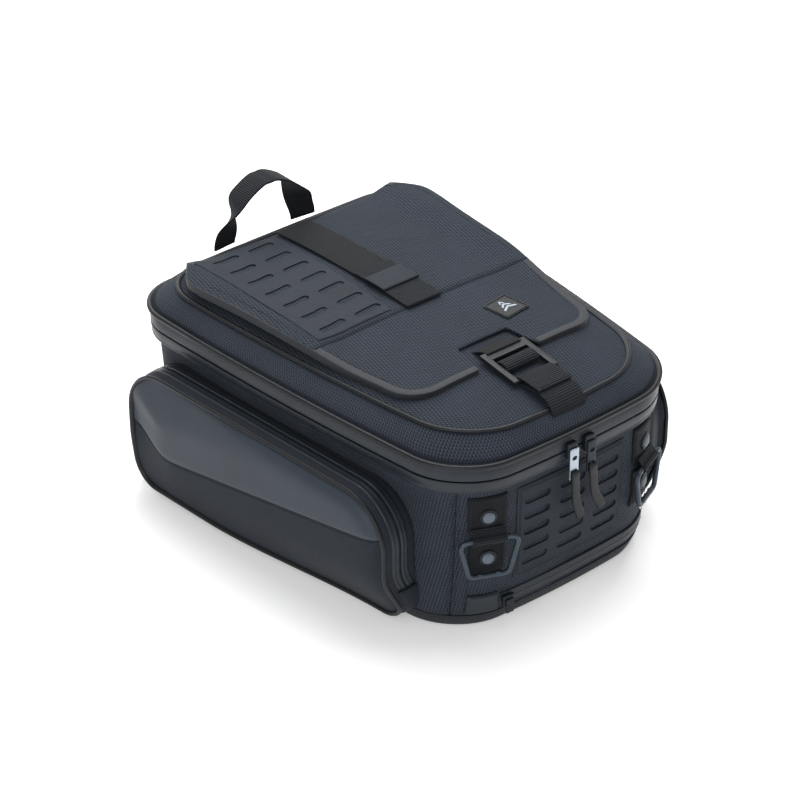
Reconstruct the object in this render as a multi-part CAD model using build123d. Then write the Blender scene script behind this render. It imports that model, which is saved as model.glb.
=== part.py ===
from build123d import *
import math
import os

# Motorcycle tail bag, millimetres. Origin: centre of the base on the seat it rests on.
# +Z is up, -Y is the end with the zip pulls, +Y is the end where the lid hinges.
os.makedirs("parts", exist_ok=True)

# ---- driving dimensions -------------------------------------------------------------------
# Plan outlines: (height, half width at +Y end, half width at -Y end, +Y reach, -Y reach)
BASE_LOW = (0, 147, 120, 194, 189)
BASE_SEAM = (14, 150, 122, 198, 193)
BELLY = (75, 154, 124, 201, 200)
NECK = (142, 157, 123, 203, 201)
RIM_LOW = (150, 161, 125, 206, 204)
ZIP_LINE = 162
RIM_TOP = (ZIP_LINE - 0.3, 161, 125, 206, 204)
LID_RIM = (ZIP_LINE + 0.3, 161, 125, 206, 204)
LID_BEND = (173, 161, 125, 206, 204)
LID_EDGE = (176, 163, 127, 208, 206)
LID_SEAM = (195, 143, 105, 190, 188)
LID_TOP = (200, 135, 97, 182, 180)

BOW_SIDE = 7
BOW_FRONT = 7
BOW_REAR = 2
CORNER_REAR = 45
CORNER_FRONT = 66

FABRIC = 3
TAPE = 2
CLEAR = 0.4
PANEL_SEAM_FRONT = 114
PANEL_SEAM_REAR = 128

# Flap: half widths and lengths of its plan
FLAP_REAR = 178
FLAP_FRONT = -125
FLAP_HALF_REAR = 134
FLAP_HALF_WAIST = 127
FLAP_WAIST = 10
FLAP_HALF_FRONT = 112
FLAP_THICK = 2.6
FLAP_Z = LID_TOP[0] + CLEAR
FLAP_TOP = FLAP_Z + FLAP_THICK
NOTCH_HALF = 34
NOTCH_DEEP = -90
WEBBING = 38
STRAP_THICK = 1.6

# Side pocket, built on the +X side and mirrored
POCKET_TURN = math.degrees(math.atan2(BELLY[1] - BELLY[2], BELLY[3] + BELLY[4]))
POCKET_X = (BELLY[1] + BELLY[2]) / 2
POCKET_Y = 13
POCKET_HALF = 165
POCKET_LOW = 8
POCKET_HIGH = 135
POCKET_DEEP = 38
POCKET_BULGE = 12
POCKET_R_TOP = 46
POCKET_R_LOW = 24

# Tie-down loops
RING_X = 89
RING_Z = 102
FRONT_TIE = (90, -200.7)
FRONT_TIE_TURN = 24
RING_WIRE = 4.5
RING_HALF_TOP = 27
RING_HALF_LOW = 17.8
RING_DROP = 37
TAB_WIDTH = 36
TAB_THICK = 1.6
TAB_LOW = 60
TAB_HIGH = 142
RIVET_R = 6.2
RIVETS_Z = (121, 80)
SLEEVE_HALF = TAB_WIDTH / 2 - 1
SLEEVE_REACH = 4.4
RING_OUT = 6.6

# Zip sliders and pulls
SLIDER_X = 10
SLIDER = (11, 5, 15)
PULL_METAL = (10, 1.8, 30)
PULL_STRAP = (9, 2.4, 44)

# Slotted panels
SLOT_LENGTH = 29
SLOT_WIDTH = 7.5

# Handle: it stands a little to the left of the centre line
HANDLE_X = -12
HANDLE_Y = 203
HANDLE_Z = 197.5
HANDLE_WIDTH = 25
HANDLE_HALF = 50.5
HANDLE_THICK = 3
HANDLE_SHOULDER = (37, 234)
HANDLE_CROWN = (17, 254)

# Buckle
BUCKLE_REAR = -114
BUCKLE_TILT = 7
BUCKLE_FRONT = -160
BUCKLE_HALF = 25
BUCKLE_Z = 206
BUCKLE_BAR = 4


# ---- shared shapes ------------------------------------------------------------------------
def plan(section, grow=0.0, height=None):
    """Rounded trapezoid with bowed sides, as a face at its height, grown outwards."""
    z, half_rear, half_front, rear, front = section
    hr = half_rear + grow
    hf = half_front + grow
    yr = rear + grow
    yf = -front - grow
    mid_x = (hr + hf) / 2 + BOW_SIDE
    mid_y = (yr + yf) / 2
    sides = [
        ThreePointArc((-hf, yf), (0, yf - BOW_FRONT), (hf, yf)),
        ThreePointArc((hf, yf), (mid_x, mid_y), (hr, yr)),
        ThreePointArc((hr, yr), (0, yr + BOW_REAR), (-hr, yr)),
        ThreePointArc((-hr, yr), (-mid_x, mid_y), (-hf, yf)),
    ]
    face = Face(Wire(sides))
    rear_corners = [v for v in face.vertices() if v.Y > 0]
    face = face.fillet_2d(CORNER_REAR + grow, rear_corners)
    front_corners = [v for v in face.vertices() if v.Y < mid_y - 50 and abs(abs(v.X) - hf) < 0.01]
    face = face.fillet_2d(CORNER_FRONT + grow, front_corners)
    return Pos(0, 0, z if height is None else height) * face


def tower(sections, grow=0.0):
    """Solid through a stack of plan outlines."""
    return loft([plan(s, grow) for s in sections], ruled=True)


def ring(sections, outer, inner):
    """Closed band between two offsets of the same outlines."""
    return tower(sections, outer) - tower(sections, inner)


def block(x0, x1, y0, y1, z0, z1):
    """Box from its limits."""
    size = (x1 - x0, y1 - y0, z1 - z0)
    return Pos((x0 + x1) / 2, (y0 + y1) / 2, (z0 + z1) / 2) * Box(*size)


def prism(points, z0, z1):
    """Upright prism on a polygon."""
    face = Face(Wire.make_polygon(points, close=True))
    return Pos(0, 0, z0) * extrude(face, z1 - z0, dir=(0, 0, 1))


def along_x(points, x0, x1):
    """Prism along X on a (y, z) polygon."""
    face = Face(Wire.make_polygon(points, close=True))
    face = Plane(origin=(x0, 0, 0), x_dir=(0, 1, 0), z_dir=(1, 0, 0)) * face
    return extrude(face, x1 - x0, dir=(1, 0, 0))


def rod_x(radius, x0, x1, y, z):
    """Round bar along X."""
    return Pos((x0 + x1) / 2, y, z) * Rot(0, 90, 0) * Cylinder(radius, x1 - x0)


def slot_cutter(depth):
    """Round-ended slot along X, as a cutter that runs up from its plane."""
    return extrude(SlotOverall(SLOT_LENGTH, SLOT_WIDTH), depth)


def mirrored(shape):
    return mirror(shape, about=Plane.YZ)


nodes = {}


def keep(name, shape):
    nodes[name] = shape


# ---- main body ----------------------------------------------------------------------------
WALL = [BASE_SEAM, BELLY, NECK, RIM_LOW, RIM_TOP]
body_outer = tower(WALL)


def build_base():
    low = [BASE_LOW, BASE_SEAM]
    floor = 4
    hollow = loft([plan(BASE_LOW, -FABRIC - 1, floor), plan(BASE_SEAM, -FABRIC - 1)], ruled=True)
    keep("base_tray", tower(low) - hollow)
    board = extrude(plan(BASE_LOW, -FABRIC - 2, floor), 3)
    keep("base_board", board)


def build_walls():
    shell = body_outer - tower(WALL, -FABRIC)
    tall = 400
    front = block(-PANEL_SEAM_FRONT, PANEL_SEAM_FRONT, -tall, -100, -10, tall)
    rear = block(-PANEL_SEAM_REAR, PANEL_SEAM_REAR, 100, tall, -10, tall)
    right = block(0, tall, -tall, tall, -10, tall)
    sides = shell - front - rear
    keep("front_panel", shell & front)
    keep("rear_panel", shell & rear)
    keep("side_panel_right", sides & right)
    keep("side_panel_left", sides - right)


def build_lining():
    inside = [BASE_SEAM, BELLY, NECK, (ZIP_LINE - 6, *RIM_TOP[1:])]
    keep("body_lining", ring(inside, -FABRIC, -FABRIC - 1))


def patch(thick, cutter):
    """Flat piece sewn on the body: it follows the wall inside the cutter's limits."""
    return (tower(WALL, thick) - body_outer) & cutter


def build_rim():
    keep("zip_tape_lower", ring([RIM_LOW, RIM_TOP], TAPE, 0))


def build_front_details():
    far = -400
    panel = patch(1.5, block(-62, 62, far, -150, 44, 140))
    cut = []
    for z in (124, 108, 92, 76, 60):
        for x in (-40, 0, 40):
            cut.append(Pos(x, -190, z) * Rot(90, 0, 0) * slot_cutter(40))
    keep("front_molle_panel", panel - cut)
    zip_band = patch(2, block(-76, 108, far, -120, 20, 34))
    keep("front_pocket_zip", zip_band)
    keep("front_pocket_garage", patch(2.6, block(-104, -76.2, far, -120, 17, 37)))


# ---- tie-down loops -----------------------------------------------------------------------
def wall_reach(x, z):
    """Distance of the rear wall from the X axis."""
    below = [s for s in WALL if s[0] <= z][-1]
    above = [s for s in WALL if s[0] > z][0]
    share = (z - below[0]) / (above[0] - below[0])
    half = below[1] + share * (above[1] - below[1])
    reach = below[3] + share * (above[3] - below[3])
    return reach + BOW_REAR * (1 - (x / half) ** 2)


def tie_place(end, side):
    """Frame of a tie-down loop on the wall: local -Y points straight out of it."""
    if end < 0:
        x, y = FRONT_TIE
        return Pos(side * x, y, 0) * Rot(0, 0, side * FRONT_TIE_TURN)
    return Pos(side * RING_X, wall_reach(RING_X, RING_Z), 0) * Rot(0, 0, 180)


def d_ring():
    """Trapezoid wire ring that hangs from its longer bar, off the wall by RING_OUT."""
    corners = [
        (-RING_HALF_TOP, 0),
        (RING_HALF_TOP, 0),
        (RING_HALF_LOW, -RING_DROP),
        (-RING_HALF_LOW, -RING_DROP),
    ]
    outer = Face(Wire.make_polygon(corners, close=True))
    path = outer.fillet_2d(6, outer.vertices()).outer_wire()
    half = RING_WIRE / 2
    band = offset(Face(path), half) - offset(Face(path), -half)
    flat = Pos(0, 0, -half) * extrude(band, RING_WIRE, dir=(0, 0, 1))
    flat = fillet(flat.edges().filter_by(lambda e: abs(abs(e.center().Z) - half) < 0.01), half * 0.8)
    return Pos(0, -RING_OUT, RING_Z) * Rot(90, 0, 0) * flat


def tie_down(place):
    """Webbing tab with a sleeve for the ring's upper bar."""
    half = TAB_WIDTH / 2
    through = 30
    tab = patch(TAB_THICK, place * block(-half, half, -through, through, TAB_LOW, TAB_HIGH))
    high = RING_Z + SLEEVE_REACH
    sleeve = block(-SLEEVE_HALF, SLEEVE_HALF, -RING_OUT - SLEEVE_REACH, 8, high - 2 * SLEEVE_REACH, high)
    sleeve -= rod_x(RING_WIRE / 2 + CLEAR, -40, 40, -RING_OUT, RING_Z)
    return tab + (place * sleeve - tower(WALL, TAB_THICK))


def rivet(place, z):
    """Snap-cap rivet on a tab."""
    cap = place * Pos(0, 0, z) * Rot(90, 0, 0) * Cylinder(RIVET_R, 16)
    return (cap - tower(WALL, TAB_THICK)) & tower(WALL, TAB_THICK + 2.2)


def build_tie_downs():
    caps = []
    for end, end_name in ((-1, "front"), (1, "rear")):
        for side, side_name in ((-1, "left"), (1, "right")):
            place = tie_place(end, side)
            keep(f"tie_down_tab_{end_name}_{side_name}", tie_down(place))
            keep(f"d_ring_{end_name}_{side_name}", place * d_ring())
            caps += [rivet(place, z) for z in RIVETS_Z]
    keep("tab_rivets", Compound(children=caps))


# ---- side pockets -------------------------------------------------------------------------
def pocket_face(inset, depth):
    """Pocket outline in its own plane: local X is outwards, Y along the bag, Z up."""
    y0 = -POCKET_HALF + inset
    y1 = POCKET_HALF - inset
    z0 = POCKET_LOW + inset
    z1 = POCKET_HIGH - inset
    face = Face(Wire.make_polygon([(y0, z0), (y1, z0), (y1, z1), (y0, z1)], close=True))
    top = [v for v in face.vertices() if v.Y > (z0 + z1) / 2]
    face = face.fillet_2d(POCKET_R_TOP - inset * 0.6, top)
    low = [v for v in face.vertices() if abs(v.Y - z0) < 0.01]
    face = face.fillet_2d(POCKET_R_LOW - inset * 0.5, low)
    return Plane(origin=(depth, 0, 0), x_dir=(0, 1, 0), z_dir=(1, 0, 0)) * face


def pocket_place():
    return Pos(POCKET_X, POCKET_Y, 0) * Rot(0, 0, -POCKET_TURN)


def pocket_ring(outer, inner, x0, x1):
    """Band that follows the pocket's outline between two insets and two depths."""
    solid = extrude(pocket_face(outer, x0), x1 - x0, dir=(1, 0, 0))
    return solid - extrude(pocket_face(inner, x0), x1 - x0, dir=(1, 0, 0))


def both_sides(name, shape):
    keep(f"{name}_right", shape)
    keep(f"{name}_left", mirrored(shape))


def build_pockets():
    place = pocket_place()
    gusset = place * pocket_ring(0, 2.5, -4, POCKET_DEEP - CLEAR)
    gusset = (gusset - body_outer - tower([BASE_LOW, BASE_SEAM])).solids().sort_by(Axis.X)[-1]
    both_sides("pocket_gusset", gusset)

    tape_low = 40
    tape = pocket_ring(-1.2, 0, 16, 29) & block(0, 60, -200, 200, tape_low, 200)
    both_sides("pocket_zip", place * tape)

    garage = place * (pocket_ring(-1.8, 0, 14, 31) & block(0, 60, -200, 0, 16, tape_low - 0.2))
    keep("pocket_zip_garages", Compound(children=[garage, mirrored(garage)]))

    mid = POCKET_DEEP + POCKET_BULGE / 2
    crown = POCKET_DEEP + POCKET_BULGE
    t = 2.5
    outer = loft([pocket_face(0, POCKET_DEEP), pocket_face(5, mid), pocket_face(23, crown)], ruled=True)
    inner_sections = [pocket_face(t, POCKET_DEEP), pocket_face(5 + t, mid - t), pocket_face(23 + t, crown - t)]
    cover = outer - loft(inner_sections, ruled=True)
    # the moulded panel ends on a line that rises towards the -Y end
    cut = along_x([(-300, 91), (300, 57), (300, 400), (-300, 400)], 0, 100)
    both_sides("pocket_moulded_panel", place * (cover & cut))
    both_sides("pocket_lower_panel", place * (cover - cut))
    both_sides("pocket_piping", place * pocket_ring(-2, 0, POCKET_DEEP, POCKET_DEEP + 4))

    slider_z = 52
    y = POCKET_HALF + 1.2 + CLEAR
    slider = place * block(17, 28, y, y + 4, slider_z - 6, slider_z + 8)
    both_sides("pocket_slider", slider)
    pull = place * block(18.5, 26.5, y + 4.4, y + 6.2, 6, slider_z + 3)
    both_sides("pocket_pull", pull)


# ---- lid ----------------------------------------------------------------------------------
LID_WALL = [LID_RIM, LID_BEND, LID_EDGE, LID_SEAM]
lid_outer = tower(LID_WALL)


def build_lid():
    keep("lid_wall", lid_outer - tower(LID_WALL, -FABRIC))
    keep("lid_top_panel", tower([LID_SEAM, LID_TOP]))
    board = extrude(plan(LID_SEAM, -FABRIC - 1), -3)
    keep("lid_board", board)
    keep("zip_tape_upper", ring([LID_RIM, LID_BEND], TAPE, 0))
    band = [LID_EDGE, (LID_EDGE[0] + 4, *LID_EDGE[1:])]
    keep("lid_piping", tower(band, 2) - tower(band, 0) - lid_outer)


def build_handle():
    """Webbing arch on the lid's rear wall, and the two feet that it is sewn to."""
    half = HANDLE_HALF
    thick = HANDLE_THICK
    right = [(half, HANDLE_Z), HANDLE_SHOULDER, HANDLE_CROWN]
    outer = Face(Wire.make_polygon(right + [(-x, z) for x, z in reversed(right)], close=True))
    high = [v for v in outer.vertices() if v.Y > HANDLE_Z + 1]
    outer = outer.fillet_2d(14, high)
    inner = offset(outer, -thick)
    arch = extrude(outer, HANDLE_WIDTH)
    arch -= extrude(inner, HANDLE_WIDTH)
    arch -= block(thick - half + 0.6, half - thick - 0.6, HANDLE_Z - 1, HANDLE_Z + 8, -1, HANDLE_WIDTH + 1)
    arch = Pos(HANDLE_X, HANDLE_Y + HANDLE_WIDTH / 2, 0) * Rot(90, 0, 0) * arch
    keep("carry_handle", arch)
    feet = []
    for x in (HANDLE_X - half + 1.5, HANDLE_X + half - 1.5):
        foot = block(x - 12, x + 12, 150, 240, 180, 192)
        feet.append((foot & tower(LID_WALL, 2)) - lid_outer)
    keep("handle_anchors", Compound(children=feet))


def build_lid_strap():
    """Webbing from the lid's front seam up to the buckle's front bar, round it and back."""
    half = WEBBING / 2
    bar_y = BUCKLE_FRONT + BUCKLE_BAR / 2
    r_in = BUCKLE_BAR / 2 + CLEAR
    r_out = r_in + STRAP_THICK
    low = block(-half, half, -198, bar_y, BUCKLE_Z - r_out, BUCKLE_Z - r_in)
    top = block(-half, half, -182, bar_y, BUCKLE_Z + r_in, BUCKLE_Z + r_out)
    bend = rod_x(r_out, -half, half, bar_y, BUCKLE_Z) - rod_x(r_in, -half, half, bar_y, BUCKLE_Z)
    bend &= block(-half, half, bar_y, bar_y + 20, BUCKLE_Z - 20, BUCKLE_Z + 20)
    foot_low = LID_SEAM[0] - 3
    foot = block(-half, half, -201, -196.4, foot_low, BUCKLE_Z - r_in) - lid_outer - tower([LID_SEAM, LID_TOP])
    keep("lid_strap", low + top + bend + foot)


# ---- flap ---------------------------------------------------------------------------------
def flap_outline():
    """Plan of the flap: wide at its sewn edge, narrower towards the notch."""
    right = [
        (FLAP_HALF_REAR, FLAP_REAR),
        (FLAP_HALF_WAIST, FLAP_WAIST),
        (FLAP_HALF_FRONT, FLAP_FRONT),
        (NOTCH_HALF, FLAP_FRONT),
        (NOTCH_HALF - 6, NOTCH_DEEP),
    ]
    left = [(-x, y) for x, y in reversed(right)]
    return right + left


def flap_face(inset=0.0):
    face = Face(Wire.make_polygon(flap_outline(), close=True))
    corners = [v for v in face.vertices() if abs(abs(v.X) - FLAP_HALF_FRONT) < 0.1]
    face = face.fillet_2d(26, corners)
    if inset:
        face = offset(face, -inset)
    return face


def build_flap():
    rim = 6
    up = (0, 0, 1)
    whole = flap_face()
    keep("flap_binding", Pos(0, 0, FLAP_Z) * extrude(whole - flap_face(rim), FLAP_THICK, dir=up))
    cloth = Pos(0, 0, FLAP_Z) * extrude(flap_face(rim), FLAP_THICK, dir=up)
    cross = block(-300, 300, -300, -10, 0, 300)
    keep("flap_front_panel", cloth & cross)
    keep("flap_rear_panel", cloth - cross)

    half = WEBBING / 2
    molle_plan = [(-116, 171), (-22, 171), (-31, -4), (-113, -4)]
    molle = prism(molle_plan, FLAP_TOP, FLAP_TOP + 1.4)
    rows = [161 - 25.5 * k for k in range(7)]
    cut = [Pos(x, y, FLAP_TOP - 1) * slot_cutter(4) for x in (-88, -48) for y in rows]
    keep("flap_molle_panel", molle - cut)
    keep("flap_webbing", block(-half, half, -10, 171, FLAP_TOP, FLAP_TOP + STRAP_THICK))
    over = block(-half - 3, half + 3, 6, 44, FLAP_TOP, FLAP_TOP + STRAP_THICK + 1.8)
    keep("webbing_keeper", over - block(-half, half, 0, 50, FLAP_TOP, FLAP_TOP + STRAP_THICK))
    badge = Pos(50, -64, FLAP_TOP) * Rot(0, 0, 8) * extrude(RectangleRounded(30, 30, 2), 1.2)
    keep("label_patch", badge)
    rise = 8
    low_edge = [(NOTCH_DEEP, FLAP_Z), (BUCKLE_REAR + 1.6, FLAP_Z + rise)]
    high_edge = [(y, z + STRAP_THICK) for y, z in reversed(low_edge)]
    keep("flap_strap", along_x(low_edge + high_edge, -half, half))


def build_buckle():
    """Two-slot frame buckle, tilted up about its round front bar, which the webbing turns about."""
    front = BUCKLE_FRONT + BUCKLE_BAR / 2
    z0 = BUCKLE_Z - BUCKLE_BAR / 2
    z1 = BUCKLE_Z + BUCKLE_BAR / 2
    inner = WEBBING / 2 + 0.6
    rear_bar = 10
    middle = (-139, -134)
    frame = block(-BUCKLE_HALF, BUCKLE_HALF, front, BUCKLE_REAR, z0, z1)
    frame -= block(-inner, inner, front - 1, middle[0], z0 - 1, z1 + 1)
    frame -= block(-inner, inner, middle[1], BUCKLE_REAR - rear_bar, z0 - 1, z1 + 1)
    frame += rod_x(BUCKLE_BAR / 2, -BUCKLE_HALF, BUCKLE_HALF, front, BUCKLE_Z)
    tilt = Pos(0, front, BUCKLE_Z) * Rot(BUCKLE_TILT, 0, 0) * Pos(0, -front, -BUCKLE_Z)
    keep("frame_buckle", tilt * frame)


# ---- zip sliders --------------------------------------------------------------------------
def arc_radius(half, bow):
    return (half * half + bow * bow) / (2 * bow)


def on_arc(x, half, reach, extra):
    """Place and turn on a bowed front edge, a little outside it."""
    radius = arc_radius(half, BOW_FRONT)
    centre = -reach - BOW_FRONT + radius
    turn = math.asin(x / radius)
    out = radius + extra
    return Pos(out * math.sin(turn), centre - out * math.cos(turn), 0) * Rot(0, 0, math.degrees(turn))


def build_sliders():
    half = RIM_TOP[2] + TAPE
    reach = RIM_TOP[4] + TAPE
    width, deep, tall = SLIDER
    for side, name in ((-1, "left"), (1, "right")):
        place = on_arc(side * SLIDER_X, half, reach, CLEAR)
        slider = block(-width / 2, width / 2, -deep, 0, ZIP_LINE - tall / 2, ZIP_LINE + tall / 2)
        keep(f"zip_slider_{name}", place * slider)
        w, d, h = PULL_METAL
        top = ZIP_LINE + 3
        y = -deep - CLEAR
        tab = block(-w / 2, w / 2, y - d, y, top - h, top)
        keep(f"zip_puller_{name}", place * tab)
        w2, d2, h2 = PULL_STRAP
        low = top - h
        cord = block(-w2 / 2, w2 / 2, y - d2, y, low - h2, low)
        keep(f"zip_pull_{name}", place * cord)

    z = 27
    share = (z - BASE_SEAM[0]) / (BELLY[0] - BASE_SEAM[0])
    half = BASE_SEAM[2] + share * (BELLY[2] - BASE_SEAM[2]) + 2
    reach = BASE_SEAM[4] + share * (BELLY[4] - BASE_SEAM[4]) + 2
    place = on_arc(-68, half, reach, 1.4)
    keep("front_zip_slider", place * block(-6, 6, -3.6, 0, z - 5, z + 5))
    keep("front_zip_pull", place * block(-4, 4, -5.6, -4, z - 12, z + 2))


build_base()
build_walls()
build_lining()
build_rim()
build_front_details()
build_tie_downs()
build_pockets()
build_lid()
build_handle()
build_lid_strap()
build_flap()
build_buckle()
build_sliders()

for name, shape in nodes.items():
    export_step(shape, f"parts/{name}.step")
print(len(nodes), "nodes")
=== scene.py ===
import math

import bmesh
import bpy
import numpy as np
from mathutils import Matrix, Vector, noise


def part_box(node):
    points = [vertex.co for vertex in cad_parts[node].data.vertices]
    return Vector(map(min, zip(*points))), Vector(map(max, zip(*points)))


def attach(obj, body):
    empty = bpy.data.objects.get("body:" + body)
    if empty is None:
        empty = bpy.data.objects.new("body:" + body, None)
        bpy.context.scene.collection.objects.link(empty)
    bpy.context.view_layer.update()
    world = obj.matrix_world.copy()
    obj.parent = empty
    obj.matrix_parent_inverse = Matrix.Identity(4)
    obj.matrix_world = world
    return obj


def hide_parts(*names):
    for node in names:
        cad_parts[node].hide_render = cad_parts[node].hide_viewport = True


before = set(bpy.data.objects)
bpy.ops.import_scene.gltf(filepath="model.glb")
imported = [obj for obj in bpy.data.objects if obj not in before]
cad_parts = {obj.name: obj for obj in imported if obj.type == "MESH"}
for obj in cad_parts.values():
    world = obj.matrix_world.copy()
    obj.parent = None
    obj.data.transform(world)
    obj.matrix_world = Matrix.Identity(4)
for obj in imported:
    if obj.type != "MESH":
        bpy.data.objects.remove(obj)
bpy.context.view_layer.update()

# Lengths in this script are millimetres; meshes are scaled to metres when they are made.
MM = 0.001

# ---- shape of the bag ------------------------------------------------------------------------
# Sections: (height, half width at the +Y end, half width at the -Y end, +Y reach, -Y reach).
BASE_LOW = (0, 147, 120, 194, 189)
BASE_SEAM = (14, 150, 122, 198, 193)
BELLY = (75, 154, 124, 201, 200)
NECK = (142, 157, 123, 203, 201)
RIM_LOW = (150, 161, 125, 206, 204)
ZIP_RIM = (162, 161, 125, 206, 204)
LID_RIM = (173, 161, 125, 206, 204)
LID_EDGE = (176, 163, 127, 208, 206)
LID_SEAM = (195, 143, 105, 190, 188)
LID_FIELD = (200, 139, 101, 186, 184)
BOW_SIDE = 7
BOW_FRONT = 7
BOW_REAR = 2
CORNER_CUT_REAR = 45
CORNER_CUT_FRONT = 50
DOME_SHOULDER = 5.5
DOME_CROWN = 7.0
FLAP_GAP = 0.8
FLAP_THICK = 2.4
WEBBING = 38
SLOT_LENGTH = 29
SLOT_WIDTH = 7.5
CUT_DEPTH = 14
UP = (0, 0, 1.0)
SIDE_SIGN = {"left": -1, "right": 1}

STITCH_PITCH = 3.4
STITCH_LENGTH = 2.5
STITCH_RADIUS = 0.34
STITCH_SIDES = 5
# Rings of one stitch: (place along it, share of the radius, height above the cloth).
STITCH_RINGS = ((-0.5, 0.15, -0.25), (-0.3, 0.9, 0.1), (0.3, 0.9, 0.1), (0.5, 0.15, -0.25))


def corners_mm(node):
    low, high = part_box(node)
    return np.array(low) / MM, np.array(high) / MM


# ---- mesh helpers ----------------------------------------------------------------------------
def add_object(name, data):
    """New object, placed in the scene."""
    obj = bpy.data.objects.new(name, data)
    bpy.context.scene.collection.objects.link(obj)
    return obj


def new_piece(name, verts, faces, material, uvs=None, body="body"):
    """Mesh object from points in millimetres. uvs holds a (u, v) pair in metres per corner."""
    mesh = bpy.data.meshes.new(name)
    mesh.from_pydata([tuple(np.asarray(v, float) * MM) for v in verts], [], faces)
    if uvs is not None:
        layer = mesh.uv_layers.new(name="cloth")
        layer.data.foreach_set("uv", [c for face in uvs for corner in face for c in corner])
    mesh.validate()
    mesh.update()
    mesh.polygons.foreach_set("use_smooth", [True] * len(mesh.polygons))
    obj = add_object(name, mesh)
    obj.data.materials.append(material)
    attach(obj, body)
    return obj


def label(obj, slot, node=None):
    """Hides the CAD node that a piece stands for, where there is one. The slot argument is not
    used.
    """
    if node is not None:
        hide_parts(node)
    return obj


def sharpen(obj, degrees):
    """Edges steeper than the angle stay sharp under smooth shading."""
    obj.data.set_sharp_from_angle(angle=math.radians(degrees))


def distances(points):
    """Distance of every point from the first one, along the line through them."""
    return np.concatenate([[0], np.cumsum(np.linalg.norm(np.diff(points, axis=0), axis=1))])


def middle_of(node):
    """Low corner, high corner and middle of a CAD node's box, in millimetres."""
    low, high = corners_mm(node)
    return low, high, (low + high) / 2


def normals_of(grid, closed=False):
    """Unit normals of a (rows, columns, 3) grid, along columns x rows."""
    if closed:
        du = np.roll(grid, -1, 1) - np.roll(grid, 1, 1)
    else:
        du = np.gradient(grid, axis=1)
    dv = np.gradient(grid, axis=0)
    n = np.cross(du, dv)
    length = np.linalg.norm(n, axis=2, keepdims=True)
    return n / np.maximum(length, 1e-9)


def grid_uv(grid, closed):
    """Cloth coordinates in metres: distance along a row, and distance along a column."""
    wrap = grid[:, :1] if closed else grid[:, :0]
    full = np.concatenate([grid, wrap], axis=1)
    du = np.linalg.norm(np.diff(full, axis=1), axis=2).mean(0)
    dv = np.linalg.norm(np.diff(grid, axis=0), axis=2).mean(1)
    u = np.concatenate([[0], np.cumsum(du)]) * MM
    v = np.concatenate([[0], np.cumsum(dv)]) * MM
    return np.stack(np.meshgrid(u, v), axis=2)


def cloth(name, grid, thick, material, body="body", closed=False, uv=None, round_edge=0.4):
    """Closed sheet of cloth: an outer grid, an inner grid behind it, and a rounded rim."""
    grid = np.asarray(grid, float)
    rows, cols = grid.shape[:2]
    normal = normals_of(grid, closed)
    front = grid.copy()
    soften = thick * round_edge * 0.5
    front[0] -= normal[0] * soften
    front[-1] -= normal[-1] * soften
    if not closed:
        front[:, 0] -= normal[:, 0] * soften
        front[:, -1] -= normal[:, -1] * soften
    back = grid - normal * thick
    verts = list(front.reshape(-1, 3)) + list(back.reshape(-1, 3))
    offset = rows * cols
    uv = grid_uv(grid, closed) if uv is None else uv
    faces, uvs = [], []
    last = cols if closed else cols - 1
    for r in range(rows - 1):
        for c in range(last):
            d = (c + 1) % cols
            a, b, e, f = r * cols + c, r * cols + d, (r + 1) * cols + d, (r + 1) * cols + c
            corner = [uv[r, c], uv[r, c + 1], uv[r + 1, c + 1], uv[r + 1, c]]
            faces.append((a, b, e, f))
            uvs.append(corner)
            faces.append((offset + f, offset + e, offset + b, offset + a))
            uvs.append(corner[::-1])

    def rim(loop, loop_uv):
        for i in range(len(loop) - 1):
            a, b = loop[i], loop[i + 1]
            faces.append((b, a, offset + a, offset + b))
            uvs.append([loop_uv[i + 1], loop_uv[i], loop_uv[i], loop_uv[i + 1]])

    ring = list(range(cols)) + ([0] if closed else [])
    wide = list(range(cols + 1)) if closed else list(range(cols))
    rim(ring, [uv[0, c] for c in wide])
    rim([(rows - 1) * cols + c for c in ring][::-1], [uv[rows - 1, c] for c in wide][::-1])
    if not closed:
        rim([r * cols + cols - 1 for r in range(rows)], [uv[r, cols - 1] for r in range(rows)])
        rim([r * cols for r in range(rows)][::-1], [uv[r, 0] for r in range(rows)][::-1])
    obj = new_piece(name, verts, faces, material, uvs, body)
    fix_normals(obj)
    return obj


def sweep(name, path, profile, material, body="body", closed=False):
    """Solid that carries a closed profile of (across, out) points along (point, out) pairs."""
    points = np.array([p for p, _ in path], float)
    outs = np.array([o for _, o in path], float)
    if closed:
        tangent = np.roll(points, -1, 0) - np.roll(points, 1, 0)
    else:
        tangent = np.gradient(points, axis=0)
    tangent /= np.linalg.norm(tangent, axis=1, keepdims=True)
    outs -= tangent * np.sum(outs * tangent, axis=1, keepdims=True)
    outs /= np.linalg.norm(outs, axis=1, keepdims=True)
    across = np.cross(tangent, outs)
    n, m = len(points), len(profile)
    verts = [p + w * a + o * up for p, w, o in zip(points, across, outs) for a, up in profile]
    prof = np.array(profile, float)
    girth = distances(np.concatenate([prof, prof[:1]])) * MM
    run = distances(np.concatenate([points, points[:1]]) if closed else points) * MM
    faces, uvs = [], []
    for i in range(n if closed else n - 1):
        j = (i + 1) % n
        for k in range(m):
            k2 = (k + 1) % m
            faces.append((i * m + k, i * m + k2, j * m + k2, j * m + k))
            low, high = (girth[k], girth[k + 1]), (girth[k + 1], girth[k])
            uvs.append([(g, run[i]) for g in low] + [(g, run[i + 1]) for g in high])
    if not closed:
        for start, order in ((0, -1), ((n - 1) * m, 1)):
            faces.append(tuple(range(start, start + m))[::order])
            uvs.append([(0, 0)] * m)
    obj = new_piece(name, verts, faces, material, uvs, body)
    fix_normals(obj)
    return obj


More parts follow.
